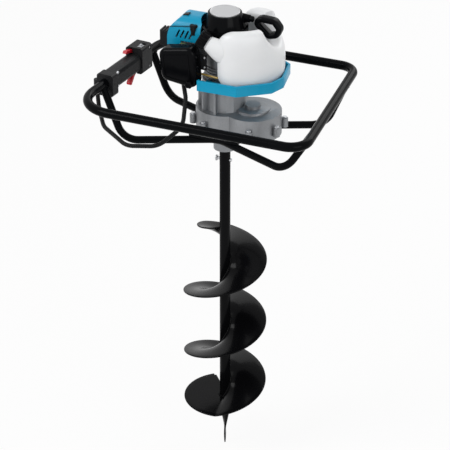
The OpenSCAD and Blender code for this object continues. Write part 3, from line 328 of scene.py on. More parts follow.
def milky(name, colour):
    """Blow-moulded milky plastic: soft light inside it, faint flow bands and small pits."""
    f = Finish(name)
    band = f.noise(9.0, detail=3.0, rough=0.55, place=f.stretched((1.0, 1.0, 2.2)))
    fine = f.noise(620.0, detail=3.0, rough=0.6)
    return f.sockets(
        Base_Color=f.mix(band, shade(colour, 0.94), shade(colour, 1.05)),
        Roughness=0.34 + band * 0.08 + fine * 0.05,
        Subsurface_Weight=0.25,
        Subsurface_Radius=(0.012, 0.012, 0.013),
        Coat_Weight=0.12,
        Coat_Roughness=0.2,
        Normal=f.bump(fine, depth=0.00005),
    )


def brushed(name, colour):
    """Brushed alloy disc: lines along X over a bright ground."""
    f = Finish(name)
    lines = f.noise(260.0, detail=4.0, rough=0.6, place=f.stretched((0.06, 4.0, 1.0)))
    return f.sockets(
        Base_Color=f.mix(lines, shade(colour, 0.86), shade(colour, 1.1)),
        Metallic=0.75,
        Roughness=0.3 + lines * 0.16,
        Normal=f.bump(lines, depth=0.00003),
    )


def braided(name, colour, across, along):
    """Braid on the piece's own UV map, u round it and v along it: two crossing sets of strands."""
    f = Finish(name)
    spot = f.node("UVMap")
    u = f.node("SeparateXYZ", None, {0: spot}, "X") * across
    v = f.node("SeparateXYZ", None, {0: spot}, "Y") * along
    wave = ((u + v) * TURN).sine() * ((u - v) * TURN).sine()
    fray = f.noise(900.0, detail=3.0, rough=0.7)
    weave = wave * 0.5 + 0.5
    return f.sockets(
        Base_Color=f.mix(weave * 0.7 + fray * 0.3, shade(colour, 0.55), shade(colour, 1.1)),
        Roughness=0.75 + fray * 0.2,
        Normal=f.bump(weave + fray * 0.3, depth=0.0003),
    )


def make_finishes():
    """One material for each of the record's slots, by slot name."""
    c = bpy.context.scene.auger_colours
    recipes = {
        "black_paint": (painted, dict(colour=c.paint, rough=0.13, coat=0.015, shine=0.03)),
        "bit_paint": (painted, dict(colour=c.bit, rough=0.15, coat=0.03, shine=0.05, scuffs=0.1)),
        "heat_paint": (painted, dict(colour=(0.03, 0.029, 0.028), rough=0.55, coat=0.0, shine=0.3)),
        "zinc_steel": (turned, dict(colour=(0.6, 0.61, 0.63), rough=0.3, scale=(1.0, 1.0, 0.2))),
        "gear_steel": (turned, dict(colour=(0.4, 0.41, 0.42), rough=0.3, scale=(1.0, 1.0, 0.1))),
        "bright_steel": (turned, dict(colour=(0.66, 0.67, 0.68), rough=0.22, scale=(0.2, 0.2, 2.0))),
        "brass": (turned, dict(colour=(0.68, 0.47, 0.17), rough=0.3, scale=(1.0, 1.0, 0.2))),
        "cast_alloy": (cast, dict(colour=c.casting, rough=0.4, depth=0.0003)),
        "badge_alloy": (brushed, dict(colour=(0.5, 0.505, 0.515))),
        "dark_plastic": (moulded, dict(
            colour=(0.013, 0.0135, 0.0145), rough=0.4, grain=1400.0, depth=0.0002, shine=0.1)),
        "grey_plastic": (moulded, dict(colour=(0.42, 0.43, 0.45), rough=0.42, grain=1200.0, depth=0.00012)),
        "red_plastic": (moulded, dict(
            colour=c.control, rough=0.36, grain=900.0, depth=0.00008, coat=0.05, shine=0.25)),
        "teal_plastic": (moulded, dict(
            colour=c.shell, rough=0.3, grain=700.0, depth=0.00006, coat=0.06, patch=0.07, shine=0.2)),
        "gloss_black": (moulded, dict(
            colour=(0.0025, 0.0027, 0.0034), rough=0.14, grain=600.0, depth=0.00004, coat=0.03, shine=0.04)),
        "rubber": (moulded, dict(colour=(0.008, 0.008, 0.009), rough=0.5, grain=1100.0, depth=0.0002, shine=0.15)),
        "cable_sleeve": (moulded, dict(
            colour=(0.006, 0.006, 0.0065), rough=0.34, grain=500.0, depth=0.00012, shine=0.12)),
        "cream_rubber": (moulded, dict(
            colour=(0.72, 0.67, 0.52), rough=0.42, grain=700.0, depth=0.00006, coat=0.15)),
        "ceramic": (moulded, dict(
            colour=(0.78, 0.77, 0.72), rough=0.18, grain=300.0, depth=0.00003, coat=0.4, patch=0.04)),
        "fuel_hose": (moulded, dict(
            colour=(0.42, 0.27, 0.05), rough=0.28, grain=400.0, depth=0.00005, coat=0.3)),
        "foam": (moulded, dict(colour=(0.1, 0.1, 0.105), rough=0.9, grain=500.0, depth=0.0012)),
        "tank_plastic": (milky, dict(colour=c.tank)),
        "rope": (braided, dict(colour=(0.62, 0.6, 0.54), across=6.0, along=14.0)),
    }
    return {slot: make(slot, **values) for slot, (make, values) in recipes.items()}


# Meshes from arrays

MERGE_NEW, MERGE_CAD = 1e-6, 2e-6
FLAT_ANGLE, BEVEL_ANGLE = math.radians(0.5), math.radians(40)


def unit(v):
    """The same directions with length 1."""
    return v / np.linalg.norm(v, axis=-1, keepdims=True)


def grid_faces(n, m, closed):
    """Quads over n rings of m points; closed joins the last ring to the first."""
    i, j = np.meshgrid(np.arange(n if closed else n - 1), np.arange(m), indexing="ij")
    i2, j2 = (i + 1) % n, (j + 1) % m
    return np.stack([i * m + j, i * m + j2, i2 * m + j2, i2 * m + j], axis=-1).reshape(-1, 4)


def surface(name, points, closed=False, caps=True, uv=False):
    """A mesh object over rings of points (n, m, 3) in mm; caps fill the first and last rings."""
    n, m = points.shape[:2]
    faces = grid_faces(n, m, closed).tolist()
    if caps and not closed:
        faces += [list(range(m))[::-1], list(range((n - 1) * m, n * m))]
    return mesh_object(name, points.reshape(-1, 3) * MM, faces, (n, m) if uv else None)


def linked(name, data):
    """A new object of the scene that shows the data."""
    made = bpy.data.objects.new(name, data)
    bpy.context.scene.collection.objects.link(made)
    return made


def mesh_object(name, points, faces, uv_grid=None):
    """A mesh object from points in metres, its normals turned outwards."""
    mesh = bpy.data.meshes.new(name)
    mesh.from_pydata(points.tolist(), [], faces)
    if uv_grid:
        n, m = uv_grid
        index = np.empty(len(mesh.loops), int)
        mesh.loops.foreach_get("vertex_index", index)
        uv = np.stack([index % m / m, index // m / max(1, n - 1)], axis=-1)
        mesh.uv_layers.new(name="UVMap").data.foreach_set("uv", uv.ravel())
    solid = bmesh.new()
    solid.from_mesh(mesh)
    bmesh.ops.remove_doubles(solid, verts=solid.verts, dist=MERGE_NEW)
    bmesh.ops.recalc_face_normals(solid, faces=solid.faces)
    solid.to_mesh(mesh)
    solid.free()
    return linked(name, mesh)


def soften(piece, angle=40.0):
    """Smooth shading up to an angle between faces."""
    mesh = piece.data
    mesh.polygons.foreach_set("use_smooth", np.ones(len(mesh.polygons), bool))
    mesh.set_sharp_from_angle(angle=math.radians(angle))
    return piece


def dress(piece, node, slot=None, replaces=True, angle=40.0):
    """The piece gets a slot's finish, rides on the node's body and, unless it is trim, stands for the node."""
    slot = slot or SLOT_OF[node]
    piece.data.materials.clear()
    piece.data.materials.append(FINISHES[slot])
    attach(soften(piece, angle), BODY_OF[node])
    if replaces:
        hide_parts(node)
    return piece


def joined(name, *pieces):
    """Several mesh pieces as one object."""
    whole = bmesh.new()
    for piece in pieces:
        whole.from_mesh(piece.data)
    mesh = bpy.data.meshes.new(name)
    whole.to_mesh(mesh)
    whole.free()
    for piece in pieces:
        bpy.data.objects.remove(piece)
    return linked(name, mesh)


def rounded_copy(node, width=None):
    """A copy of a CAD node with its sharp edges rounded by a bevel, which stands for the node."""
    mesh = frame["nodes"][node].data.copy()
    solid = bmesh.new()
    solid.from_mesh(mesh)
    bmesh.ops.remove_doubles(solid, verts=solid.verts, dist=MERGE_CAD)
    bmesh.ops.dissolve_limit(solid, angle_limit=FLAT_ANGLE, verts=solid.verts, edges=solid.edges)
    solid.to_mesh(mesh)
    solid.free()
    piece = dress(linked(node + "_rounded", mesh), node)
    bevel = piece.modifiers.new("edge", "BEVEL")
    bevel.width = width or bpy.context.scene.auger_sizes.edge
    bevel.segments = 2
    bevel.limit_method = "ANGLE"
    bevel.angle_limit = BEVEL_ANGLE
    bevel.harden_normals = True


# Paths and sections


def corner_arcs(points, radius, steps, closed=False):
    """Centres and directions of a path through points (mm) whose corners are arcs.

    The radius is one number for all corners, or one for each.
    """
    p = np.asarray(points, float)
    before, at, after = (np.roll(p, 1, 0), p, np.roll(p, -1, 0)) if closed else (p[:-2], p[1:-1], p[2:])
    u, w = unit(at - before), unit(after - at)
    turn = np.arccos(np.clip((u * w).sum(1, keepdims=True), -1, 1))
    side = unit(w - u * (u * w).sum(1, keepdims=True))
    radius = np.broadcast_to(radius, (len(at),))[:, None]
    middle = at - u * radius * np.tan(turn / 2) + side * radius
    f = turn[:, None] * np.linspace(0, 1, steps)[None, :, None]
    u, side, middle = u[:, None], side[:, None], middle[:, None]
    centres = (middle + radius[:, None] * (u * np.sin(f) - side * np.cos(f))).reshape(-1, 3)
    ways = (u * np.cos(f) + side * np.sin(f)).reshape(-1, 3)
    if closed:
        return centres, ways
    first, last = unit(p[1] - p[0]), unit(p[-1] - p[-2])
    return np.vstack([p[:1], centres, p[-1:]]), np.vstack([first, ways, last])


def smooth_path(points, steps):
    """Points (mm) of a Catmull-Rom curve through given points, steps to each stretch."""
    p = np.asarray(points, float)
    n = len(p) - 1
    i = np.arange(n)
    a, b, c, d = (p[np.clip(i + k, 0, n)][:, None] for k in (-1, 0, 1, 2))
    t = (np.arange(steps) / steps)[None, :, None]
    q = 0.5 * (2 * b + (c - a) * t + (2 * a - 5 * b + 4 * c - d) * t**2 + (3 * b - a - 3 * c + d) * t**3)
    return np.vstack([q.reshape(-1, 3), p[-1:]])


def ways_along(path):
    """Directions of a path at its points, from the points on either side."""
    return unit(np.gradient(path, axis=0))


def distances(path):
    """Length of the path up to each of its points."""
    return np.concatenate([[0], np.cumsum(np.linalg.norm(np.diff(path, axis=0), axis=1))])


def read_at(s, known, rows):
    """Rows of three figures that are known along a path, read at the lengths s."""
    return np.stack([np.interp(s, known, rows[:, k]) for k in range(3)], axis=-1)


def tube_points(centres, ways, radius, sides, ref):
    """Rings of a tube: c + r (s cos f + w sin f), where s and w are square to the path's way."""
    s = unit(np.cross(ways, np.broadcast_to(ref, ways.shape)))
    w = np.cross(s, ways)
    f = np.linspace(0, TURN, sides, endpoint=False)[None, :, None]
    r = np.broadcast_to(radius, (len(centres),))[:, None, None]
    return centres[:, None] + r * (s[:, None] * np.cos(f) + w[:, None] * np.sin(f))


def squarish(f, power):
    """Cosine and sine of f, each to a power below 1 with its sign kept: a square with round corners."""
    c, s = np.cos(f), np.sin(f)
    return np.sign(c) * np.abs(c) ** power, np.sign(s) * np.abs(s) ** power


def revolved(profile, sides, ripple=None):
    """Rings of a turned shape round Z from (radius, height) rows; ripple(f, k) scales the radius."""
    profile = np.asarray(profile, float)
    f = np.linspace(0, TURN, sides, endpoint=False)[None, :]
    row = np.arange(len(profile))[:, None]
    r = profile[:, :1] * (ripple(f, row) if ripple else np.ones_like(f))
    return np.stack([r * np.cos(f), r * np.sin(f), profile[:, 1:2] + 0 * f], axis=-1)


def rounded(profile, radius, steps=5):
    """A profile of (radius, height) rows with its inner corners rounded off."""
    p = np.asarray(profile, float)
    flat = np.hstack([p, np.zeros((len(p), 1))])
    sizes = np.broadcast_to(radius, (len(p) - 2,))
    rows = [flat[:1]]
    rows += [corner_arcs(flat[k : k + 3], sizes[k], steps)[0][1:-1] for k in range(len(p) - 2)]
    return np.vstack(rows + [flat[-1:]])[:, :2]


def placed(points, origin, axis, side=None):
    """Points whose Z runs along axis, and X towards side where it is given, moved to origin (mm)."""
    z = unit(np.asarray(axis, float))
    if side is None:
        side = np.cross(BACK if abs(z[1]) < 0.9 else UP, z)
    x = unit(side - z * (side @ z))
    return np.asarray(origin, float) + points @ np.stack([x, np.cross(z, x), z])


# Stage

SENSOR, FAR_CLIP = 36.0, 100.0
FLOOR_HALF, FLOOR_Z, FLOOR_TONE, FLOOR_ROUGH, FLOOR_GLOW = 40.0, -0.0005, 0.82, 0.9, 0.9
SKY_LIT, SKY_SEEN = 0.5, 1.0
LAMP_AIM = (0.0, 0.0, 0.7)
LAMPS = (
    ("key_lamp", (-2.4, -2.6, 3.6), 2.0, 90.0),
    ("fill_lamp", (3.2, -2.2, 2.2), 2.4, 45.0),
    ("back_lamp", (0.6, 3.2, 3.0), 2.4, 50.0),
)


def soft_lamp(name, place, size, power):
    """A square area lamp at place that faces the middle of the part."""
    lamp = bpy.data.lights.new(name, "AREA")
    lamp.size = size
    lamp.energy = power
    made = linked(name, lamp)
    made.location = place
    made.rotation_euler = (Vector(LAMP_AIM) - Vector(place)).to_track_quat("-Z", "Y").to_euler()


def floor_paper():
    """Pale paper that glows only where it is seen directly; it lights the part by what it reflects."""
    f = Finish("floor_paper")
    f.sockets(Base_Color=rgba((FLOOR_TONE,) * 3), Roughness=FLOOR_ROUGH)
    glow = f.node("Emission", None, {"Color": WHITE})
    plain = Val(f, f.shader.outputs[0])
    shown = f.node("MixShader", None, {0: f.seen_directly() * FLOOR_GLOW, 1: plain, 2: glow})
    f.feed(f.tree.nodes["Material Output"].inputs["Surface"], shown)
    return f.material


def studio_sky():
    """White surroundings, full where they are seen and dimmer in the light that they give."""
    world = bpy.data.worlds.new("studio")
    world.use_nodes = True
    sky = Nodes(world.node_tree)
    ground = sky.tree.nodes["Background"]
    level = sky.node("MapRange", None, {"Value": sky.seen_directly(), "To Min": SKY_LIT, "To Max": SKY_SEEN})
    sky.feed(ground.inputs["Strength"], level)
    sky.feed(ground.inputs["Color"], WHITE)
    return world


class AUGER_OT_stage(bpy.types.Operator):
    """Camera at the photograph's angle, pale floor and soft studio light"""

    bl_idname = "auger.stage"
    bl_label = "Stage"

    def execute(self, context):
        scene, stage = context.scene, context.scene.auger_stage
        scene.view_settings.view_transform = "Standard"
        lens = bpy.data.cameras.new("camera")
        lens.lens = stage.lens
        lens.sensor_width = SENSOR
        lens.clip_end = FAR_CLIP
        camera = linked("camera", lens)
        camera.location = (
            stage.distance * math.sin(stage.azimuth), -stage.distance * math.cos(stage.azimuth), stage.height)
        camera.rotation_euler = (math.pi / 2 - stage.pitch, 0.0, stage.azimuth)
        scene.camera = camera

        corners = np.array([(-1, -1), (1, -1), (1, 1), (-1, 1)]) * FLOOR_HALF
        floor = mesh_object("floor", np.column_stack([corners, np.full(4, FLOOR_Z)]), [[0, 1, 2, 3]])
        floor.data.materials.append(floor_paper())

        scene.world = studio_sky()
        for lamp in LAMPS:
            soft_lamp(*lamp)
        return {"FINISHED"}


# Cords

GLAND = (-296.34, -67.55)
CABLE_LOW = LEG_Z + 7
CABLE_ROUTE = (
    (*GLAND, LOOP_Z - 12), (*GLAND, LOOP_Z - 66), (-258, -118, CABLE_LOW + 12), (-176, -168, CABLE_LOW),
    (-100, -158, CABLE_LOW + 9), (-58, -112, CABLE_LOW + 47), (-66, -76, CABLE_LOW + 103),
    (-80, -59, CYL_Z - 74), (-80, -59, CYL_Z - 18))
CABLE_BEND, SLEEVE_STEP, SLEEVE_REF = 48.0, 0.7, (0.3, 1.0, 0.1)
RIB_STEP, RIB_DEEP, RIB_POWER = 4.4, 0.45, 0.7
HOSE_ROUTE = ((-62, -59, CYL_Z - 18), (-62, -59, CYL_Z - 44), (13.1, -72, CYL_Z - 44))
HOSE_BEND = 20.0
ROPE_ROUTE = ((0, 26, ROPE_Z), (51, 26, ROPE_Z))
ROPE_D = 4.0


def sleeve_points(path, radius):
    """Ribbed sleeve: a tube along the path whose radius dips between ribs, by d (1 - |sin|)^p once in each rib step."""
    known = distances(path)
    s = np.linspace(0, known[-1], int(known[-1] / SLEEVE_STEP))
    line = read_at(s, known, path)
    ribs = radius - RIB_DEEP * (1 - np.abs(np.sin(np.pi * s / RIB_STEP))) ** RIB_POWER
    return tube_points(line, ways_along(line), ribs, sides=20, ref=SLEEVE_REF)


class AUGER_OT_cords(bpy.types.Operator):
    """Throttle cable, fuel hose and starter rope"""

    bl_idname = "auger.cords"
    bl_label = "Cords"

    def execute(self, context):
        sizes = context.scene.auger_sizes
        path, _ = corner_arcs(CABLE_ROUTE, CABLE_BEND, steps=16)
        cable = surface("throttle_cable_sleeve", sleeve_points(path, sizes.cable_d / 2 / MM))
        dress(cable, "throttle_cable")
        path[0] * MM
        path * MM

        path, ways = corner_arcs(HOSE_ROUTE, HOSE_BEND, steps=14)
        hose = surface("fuel_hose", tube_points(path, ways, sizes.hose_d / 2 / MM, sides=16, ref=BACK), uv=True)
        dress(hose, "fuel_line")
        path[0] * MM
        path * MM

        path = np.linspace(*np.array(ROPE_ROUTE, float), num=24)
        rings = tube_points(path, ways_along(path), ROPE_D / 2, sides=16, ref=UP)
        rope = surface("starter_rope_braid", rings, uv=True)
        rope.data.materials.append(FINISHES["rope"])
        soften(rope)
        path[0] * MM
        path[-1] * MM
        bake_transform(rope)
        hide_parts("starter_rope")
        path[0] * MM
        path * MM
        return {"FINISHED"}


# Handle frame

LOOP_FRONT, LOOP_BACK, LOOP_DEPTH = 566.0, 482.0, 456.0
LOOP_SKEW = (LOOP_BACK - LOOP_FRONT) / 2
LOOP_BENDS, LEG_BEND = (42.0, 42.0, 85.0, 85.0), 50.0
LEG_REACH, LEG_WIDE_Y, LEG_MID_Y = 202.0, 130.0, 40.0
LEG_END_Y = {-1: -93.0, 1: 137.0}
WELD_R, WELD_RIPPLE, WELD_WAVES, WELD_STEPS = 1.9, 0.16, 18, 72
PLATE_EDGE = 2.0


def side_x(y):
    """Half width of the loop at a depth y."""
    return LOOP_FRONT / 2 + LOOP_SKEW * (y + LOOP_DEPTH / 2) / LOOP_DEPTH


def leg_line(s):
    """Centreline of a leg tube, s = -1 front and 1 rear."""
    y = LEG_END_Y[s]
    return np.array([
        (-side_x(y), y, LOOP_Z), (-LEG_REACH, s * LEG_WIDE_Y, LEG_Z), (0, s * LEG_MID_Y, LEG_Z),
        (LEG_REACH, s * LEG_WIDE_Y, LEG_Z), (side_x(y), y, LOOP_Z)])


def weld_points(leg_from, leg_to, bar_way, leg_r, bar_r):
    """Bead where a leg meets the loop: a rippled tube round the curve on the leg's wall at the loop's radius."""
    way = unit(leg_to - leg_from)
    bar = unit(np.asarray(bar_way, float))
    s = unit(np.cross(way, bar))
    w = np.cross(s, way)
    f = np.linspace(0, TURN, WELD_STEPS, endpoint=False)[:, None]
    wall = leg_r * (s * np.cos(f) + w * np.sin(f))
    flat = wall - (wall @ bar)[:, None] * bar
    run = way - (way @ bar) * bar
    a, b, c = run @ run, flat @ run, (flat**2).sum(1) - bar_r**2
    t = (-b - np.sqrt(np.maximum(b * b - a * c, 0))) / a
    curve = leg_to + wall + t[:, None] * way
    ways = unit(np.roll(curve, -1, 0) - np.roll(curve, 1, 0))
    ripple = WELD_R * (1 + WELD_RIPPLE * np.sin(f[:, 0] * WELD_WAVES) ** 2)
    return tube_points(curve, ways, ripple, sides=10, ref=way)


class AUGER_OT_frame(bpy.types.Operator):
    """Handle loop, leg tubes with their welds, and the mount plate"""

    bl_idname = "auger.frame"
    bl_label = "Handle frame"

    def execute(self, context):
        sizes = context.scene.auger_sizes
        bar_r, leg_r = sizes.tube_d / 2 / MM, sizes.leg_d / 2 / MM
        front, back, deep = LOOP_FRONT / 2, LOOP_BACK / 2, LOOP_DEPTH / 2
        corners = [(front, -deep, LOOP_Z), (back, deep, LOOP_Z), (-back, deep, LOOP_Z), (-front, -deep, LOOP_Z)]
        path, ways = corner_arcs(corners, LOOP_BENDS, steps=20, closed=True)
        loop = surface("handle_loop_tube", tube_points(path, ways, bar_r, sides=40, ref=UP), closed=True)
        dress(loop, "handle_loop")
        for s, node in ((-1, "front_leg_tube"), (1, "rear_leg_tube")):
            line = leg_line(s)
            path, ways = corner_arcs(line, LEG_BEND, steps=18)
            leg = surface(node + "_smooth", tube_points(path, ways, leg_r, sides=36, ref=UP))
            beads = [
                surface(f"bead_{k}", weld_points(line[k], line[end], (-x, LOOP_DEPTH, 0.0), leg_r, bar_r), closed=True)
                for k, end, x in ((1, 0, LOOP_SKEW), (3, 4, -LOOP_SKEW))]
            dress(joined(node + "_welded", leg, *beads), node)
        rounded_copy("mount_plate", PLATE_EDGE * MM)
        return {"FINISHED"}


# Bit

SHAFT_R, BORE_R, BORE_DEEP, SHAFT_ROUND = 13.0, 9.4, 50, 0.8
PITCH, FLIGHT_LOW, FLIGHT_TOP, FLIGHT_T, FLIGHT_STUB = 170.0, 140.0, 616.0, 4.0, 8
HELIX_REF, HELIX_START, FLAT_TURN, TAPER_TURN = FLIGHT_LOW + 219, 23.0, 150.0, 70.0
TOP_ANGLE = HELIX_START + 360 * (FLIGHT_TOP - HELIX_REF) / PITCH
LOW_ANGLE = HELIX_START + 360 * (FLIGHT_LOW - HELIX_REF) / PITCH
END_ANGLE = LOW_ANGLE - FLAT_TURN
FLIGHT_STEPS, STRIP_STEPS, ROOT_SINK = 420, 9, 0.5
BEAD_STEPS, BEAD_R, BEAD_RIPPLE, BEAD_WAVE = 520, 2.3, 0.35, 1.7
BEAD_OUT, BEAD_OFF, BEAD_SHORT = 0.6, 0.4, 4
POINT_STEPS, POINT_SIDES, POINT_SQUARE = 64, 40, 0.35
POINT_L, POINT_WIDE, POINT_THICK, POINT_SHRINK, POINT_TWIST = 104.0, 12.5, 4.5, 0.88, math.radians(120)
SOCKET_TOP = PLATE_Z - 59.0
BIT_EDGES = {"cutting_blade": 0.8, "drive_pin": 0.6}


def flight_height(a):
    """Underside of the flight at plan angle a in degrees: a screw, flat at its lower end."""
    return np.where(a > LOW_ANGLE, HELIX_REF + (a - HELIX_START) * PITCH / 360, FLIGHT_LOW)


def flight_radius(a, full):
    """Outer radius: from a stub at the top it widens over the first degrees, by a sine."""
    grown = np.sin(np.minimum(1, (TOP_ANGLE - a) / TAPER_TURN) * np.pi / 2)
    return SHAFT_R + FLIGHT_STUB + (full - SHAFT_R - FLIGHT_STUB) * grown


def flight_points(full):
    """Screw blade: a flat strip with a half-round outer edge, carried round the axis."""
    a = np.linspace(TOP_ANGLE, END_ANGLE, FLIGHT_STEPS)[:, None]
    rim = np.linspace(-np.pi / 2, np.pi / 2, STRIP_STEPS)[None]
    out = flight_radius(a, full) - FLIGHT_T / 2
    low = SHAFT_R - ROOT_SINK + (out - SHAFT_R + ROOT_SINK) * np.linspace(0, 1, STRIP_STEPS)[None]
    r = np.hstack([low[:, :-1], out + FLIGHT_T / 2 * np.cos(rim), low[:, ::-1][:, 1:]])
    flat = np.ones((1, STRIP_STEPS - 1))
    lift = np.hstack([0 * flat, FLIGHT_T / 2 * (1 + np.sin(rim)), FLIGHT_T * flat])
    turn = np.radians(a)
    return np.stack([r * np.cos(turn), r * np.sin(turn), flight_height(a) + lift], axis=-1)


def bead_points(lift):
    """Weld bead up the shaft beside the flight: a rippled tube on the screw line."""
    a = np.linspace(TOP_ANGLE - BEAD_SHORT, END_ANGLE + BEAD_SHORT, BEAD_STEPS)
    turn = np.radians(a)
    r = SHAFT_R + BEAD_OUT
    path = np.stack([r * np.cos(turn), r * np.sin(turn), flight_height(a) + lift], axis=-1)
    ripple = BEAD_R + BEAD_RIPPLE * np.sin(np.arange(BEAD_STEPS) * BEAD_WAVE)
    return tube_points(path, ways_along(path), ripple, sides=8, ref=UP)


def point_points():
    """Fishtail point: a rounded bar section that shrinks and twists a third of a turn to its tip."""
    s = np.linspace(0, 1, POINT_STEPS)[:, None]
    f = np.linspace(0, TURN, POINT_SIDES, endpoint=False)[None]
    u, v = squarish(f, POINT_SQUARE)
    x, y = POINT_WIDE * u, POINT_THICK * v
    size = 1 - POINT_SHRINK * s
    turn = -POINT_TWIST * s
    return np.stack([
        size * (x * np.cos(turn) - y * np.sin(turn)), size * (x * np.sin(turn) + y * np.cos(turn)),
        POINT_L * (1 - s) + 0 * f], axis=-1)


class AUGER_OT_bit(bpy.types.Operator):
    """Screw bit: shaft, flight with weld beads, blade, point and drive pin"""

    bl_idname = "auger.bit"
    bl_label = "Bit"

    def execute(self, context):
        full = context.scene.auger_sizes.bit_d / 2 / MM
        blade = surface("flight_blade", flight_points(full))
        lifts = (-BEAD_OFF, FLIGHT_T + BEAD_OFF)
        beads = [surface(f"flight_bead_{k}", bead_points(lift)) for k, lift in enumerate(lifts)]
        dress(joined("bit_flight_welded", blade, *beads), "bit_flight")
        bore_end = SOCKET_TOP - BORE_DEEP
        profile = rounded(
            [(0, POINT_L), (SHAFT_R, POINT_L), (SHAFT_R, SOCKET_TOP), (BORE_R, SOCKET_TOP), (BORE_R, bore_end),
             (0, bore_end)], SHAFT_ROUND)
        dress(surface("bit_shaft_turned", revolved(profile[1:-1], sides=48)), "bit_shaft")
        dress(surface("pilot_point_twisted", point_points()), "pilot_point", angle=50.0)
        for node, width in BIT_EDGES.items():
            rounded_copy(node, width * MM)
        return {"FINISHED"}


# Fuel tank, its profiles in rows of (radius, height)

TANK_RUN = ((20, -74), (62, -66), (102, -34), (116, 10), (104, 52), (68, 80), (18, 80))
TANK_HALF, TANK_TIP, TANK_ROUND, TANK_SQUARE = 22.0, 6.6, 35.0, 0.62
END_FROM, END_STEPS, RUN_STEPS, TANK_SIDES = 0.08, 9, 48, 64
DIP_FROM, DIP_LONG, DIP_POWER = 0.34, 0.44, 0.6
CAP_AT = np.array((-20.0, -82.0, TANK_TOP - 24))
CAP_TILT, CAP_YAW = math.radians(60), math.radians(8)
CAP_LEVEL = np.array((math.cos(CAP_YAW), math.sin(CAP_YAW), 0.0))
CAP_SIDE = math.cos(CAP_TILT) * CAP_LEVEL + math.sin(CAP_TILT) * UP
CAP_AXIS = math.cos(CAP_TILT) * UP - math.sin(CAP_TILT) * CAP_LEVEL
NECK_ROWS = ((10.5, -30), (10.5, 0), (14.4, 0), (15, -0.6), (15, -15))
CAP_ROWS = ((15.4, 1.5), (15.4, -12), (19.2, -12), (19.2, 9.5), (13, 11), (12, 8.6), (0.01, 8.6))
CAP_ROUNDS = (0.6, 1.0, 2.2, 1.0, 0.8)
CAP_RIBS, RIB_SCALE, RIB_FLAT = 24, 0.035, 3


def tank_height(t):
    """Height of the tank along its run, low in the middle where the rope passes."""
    dip = np.sin(np.pi * np.clip((t - DIP_FROM) / DIP_LONG, 0, 1)) ** DIP_POWER
    return TANK_TOP - TANK_LOW - (TANK_TOP - SADDLE_Z) * dip


def tank_points():
    """Tank body: a rounded section carried along the run, swelling from nothing at each end."""
    path = smooth_path([(x, y, 0.0) for x, y in TANK_RUN], steps=14)
    known = distances(path)
    total = known[-1]
    edge = TANK_ROUND * (1 - np.cos(np.linspace(END_FROM, np.pi / 2, END_STEPS))) - TANK_TIP
    middle = np.linspace(TANK_ROUND, total - TANK_ROUND, RUN_STEPS)[1:-1]
    s = np.concatenate([edge, middle, total - edge[::-1]])
    inside = np.clip(s, 0, total)
    way = unit(read_at(inside, known, ways_along(path)))
    at = read_at(inside, known, path) + way * (s - inside)[:, None]
    near = np.minimum(s + TANK_TIP, total + TANK_TIP - s)
    swell = (1 - np.clip(1 - near / (TANK_ROUND + TANK_TIP), 0, 1) ** 2.0) ** 0.5
    full = tank_height(inside / total)
    h = (full * (0.5 + swell / 2))[:, None]
    low = TANK_LOW + (full[:, None] - h) / 2
    u, v = squarish(np.linspace(0, TURN, TANK_SIDES, endpoint=False)[None], TANK_SQUARE)
    wide = TANK_HALF * swell[:, None] * u
    return np.stack([at[:, :1] + way[:, 1:2] * wide, at[:, 1:2] - way[:, :1] * wide, low + h / 2 * (1 + v)], axis=-1)


def funnel_points():
    """Oval funnel under the neck, with s = 0 at the neck and 1 at its root in the tank.

    Its half width is b = 17 + 6 s - 14 s^3 and its half height (1 + 0.9 s) b; two last rings close on the neck.
    """
    s = np.linspace(1, 0, 24)[:, None]
    b = np.vstack([17 + 6 * s - 14 * s**3, [[16.3], [15.0]]])
    tall = np.vstack([1 + 0.9 * s, [[1.0], [1.0]]])
    z = np.vstack([-14.8 - 65.2 * s, [[-14.1], [-14.0]]])
    f = np.linspace(0, TURN, 56, endpoint=False)[None]
    return np.stack([b * tall * np.cos(f), b * np.sin(f), z + 0 * f], axis=-1)


def cap_ribs(f, k):
    """Scale of the cap's radius: flat-topped ribs on the profile's rows 3 to 11."""
    return 1 + RIB_SCALE * np.tanh(RIB_FLAT * np.sin(CAP_RIBS * f)) * ((k >= 3) & (k <= 11))


class AUGER_OT_tank(bpy.types.Operator):
    """Milky tank with its flared neck, ribbed cap and the tray under it"""

    bl_idname = "auger.tank"
    bl_label = "Fuel tank"

    def execute(self, context):
        body = surface("tank_body", tank_points())
        neck = surface("tank_neck", placed(revolved(NECK_ROWS, sides=56), CAP_AT, CAP_AXIS), caps=False)
        funnel = surface("tank_funnel", placed(funnel_points(), CAP_AT, CAP_AXIS, CAP_SIDE), caps=False)
        dress(joined("fuel_tank_blown", body, neck, funnel), "fuel_tank", angle=70.0)
        cap = revolved(rounded(CAP_ROWS, CAP_ROUNDS), sides=192, ripple=cap_ribs)
        dress(surface("fuel_cap_ribbed", placed(cap, CAP_AT, CAP_AXIS), caps=False), "fuel_cap")
        rounded_copy("tank_tray")
        return {"FINISHED"}


# Engine, its turned profiles in rows of (radius, height) and the filter's in (inset, forward)

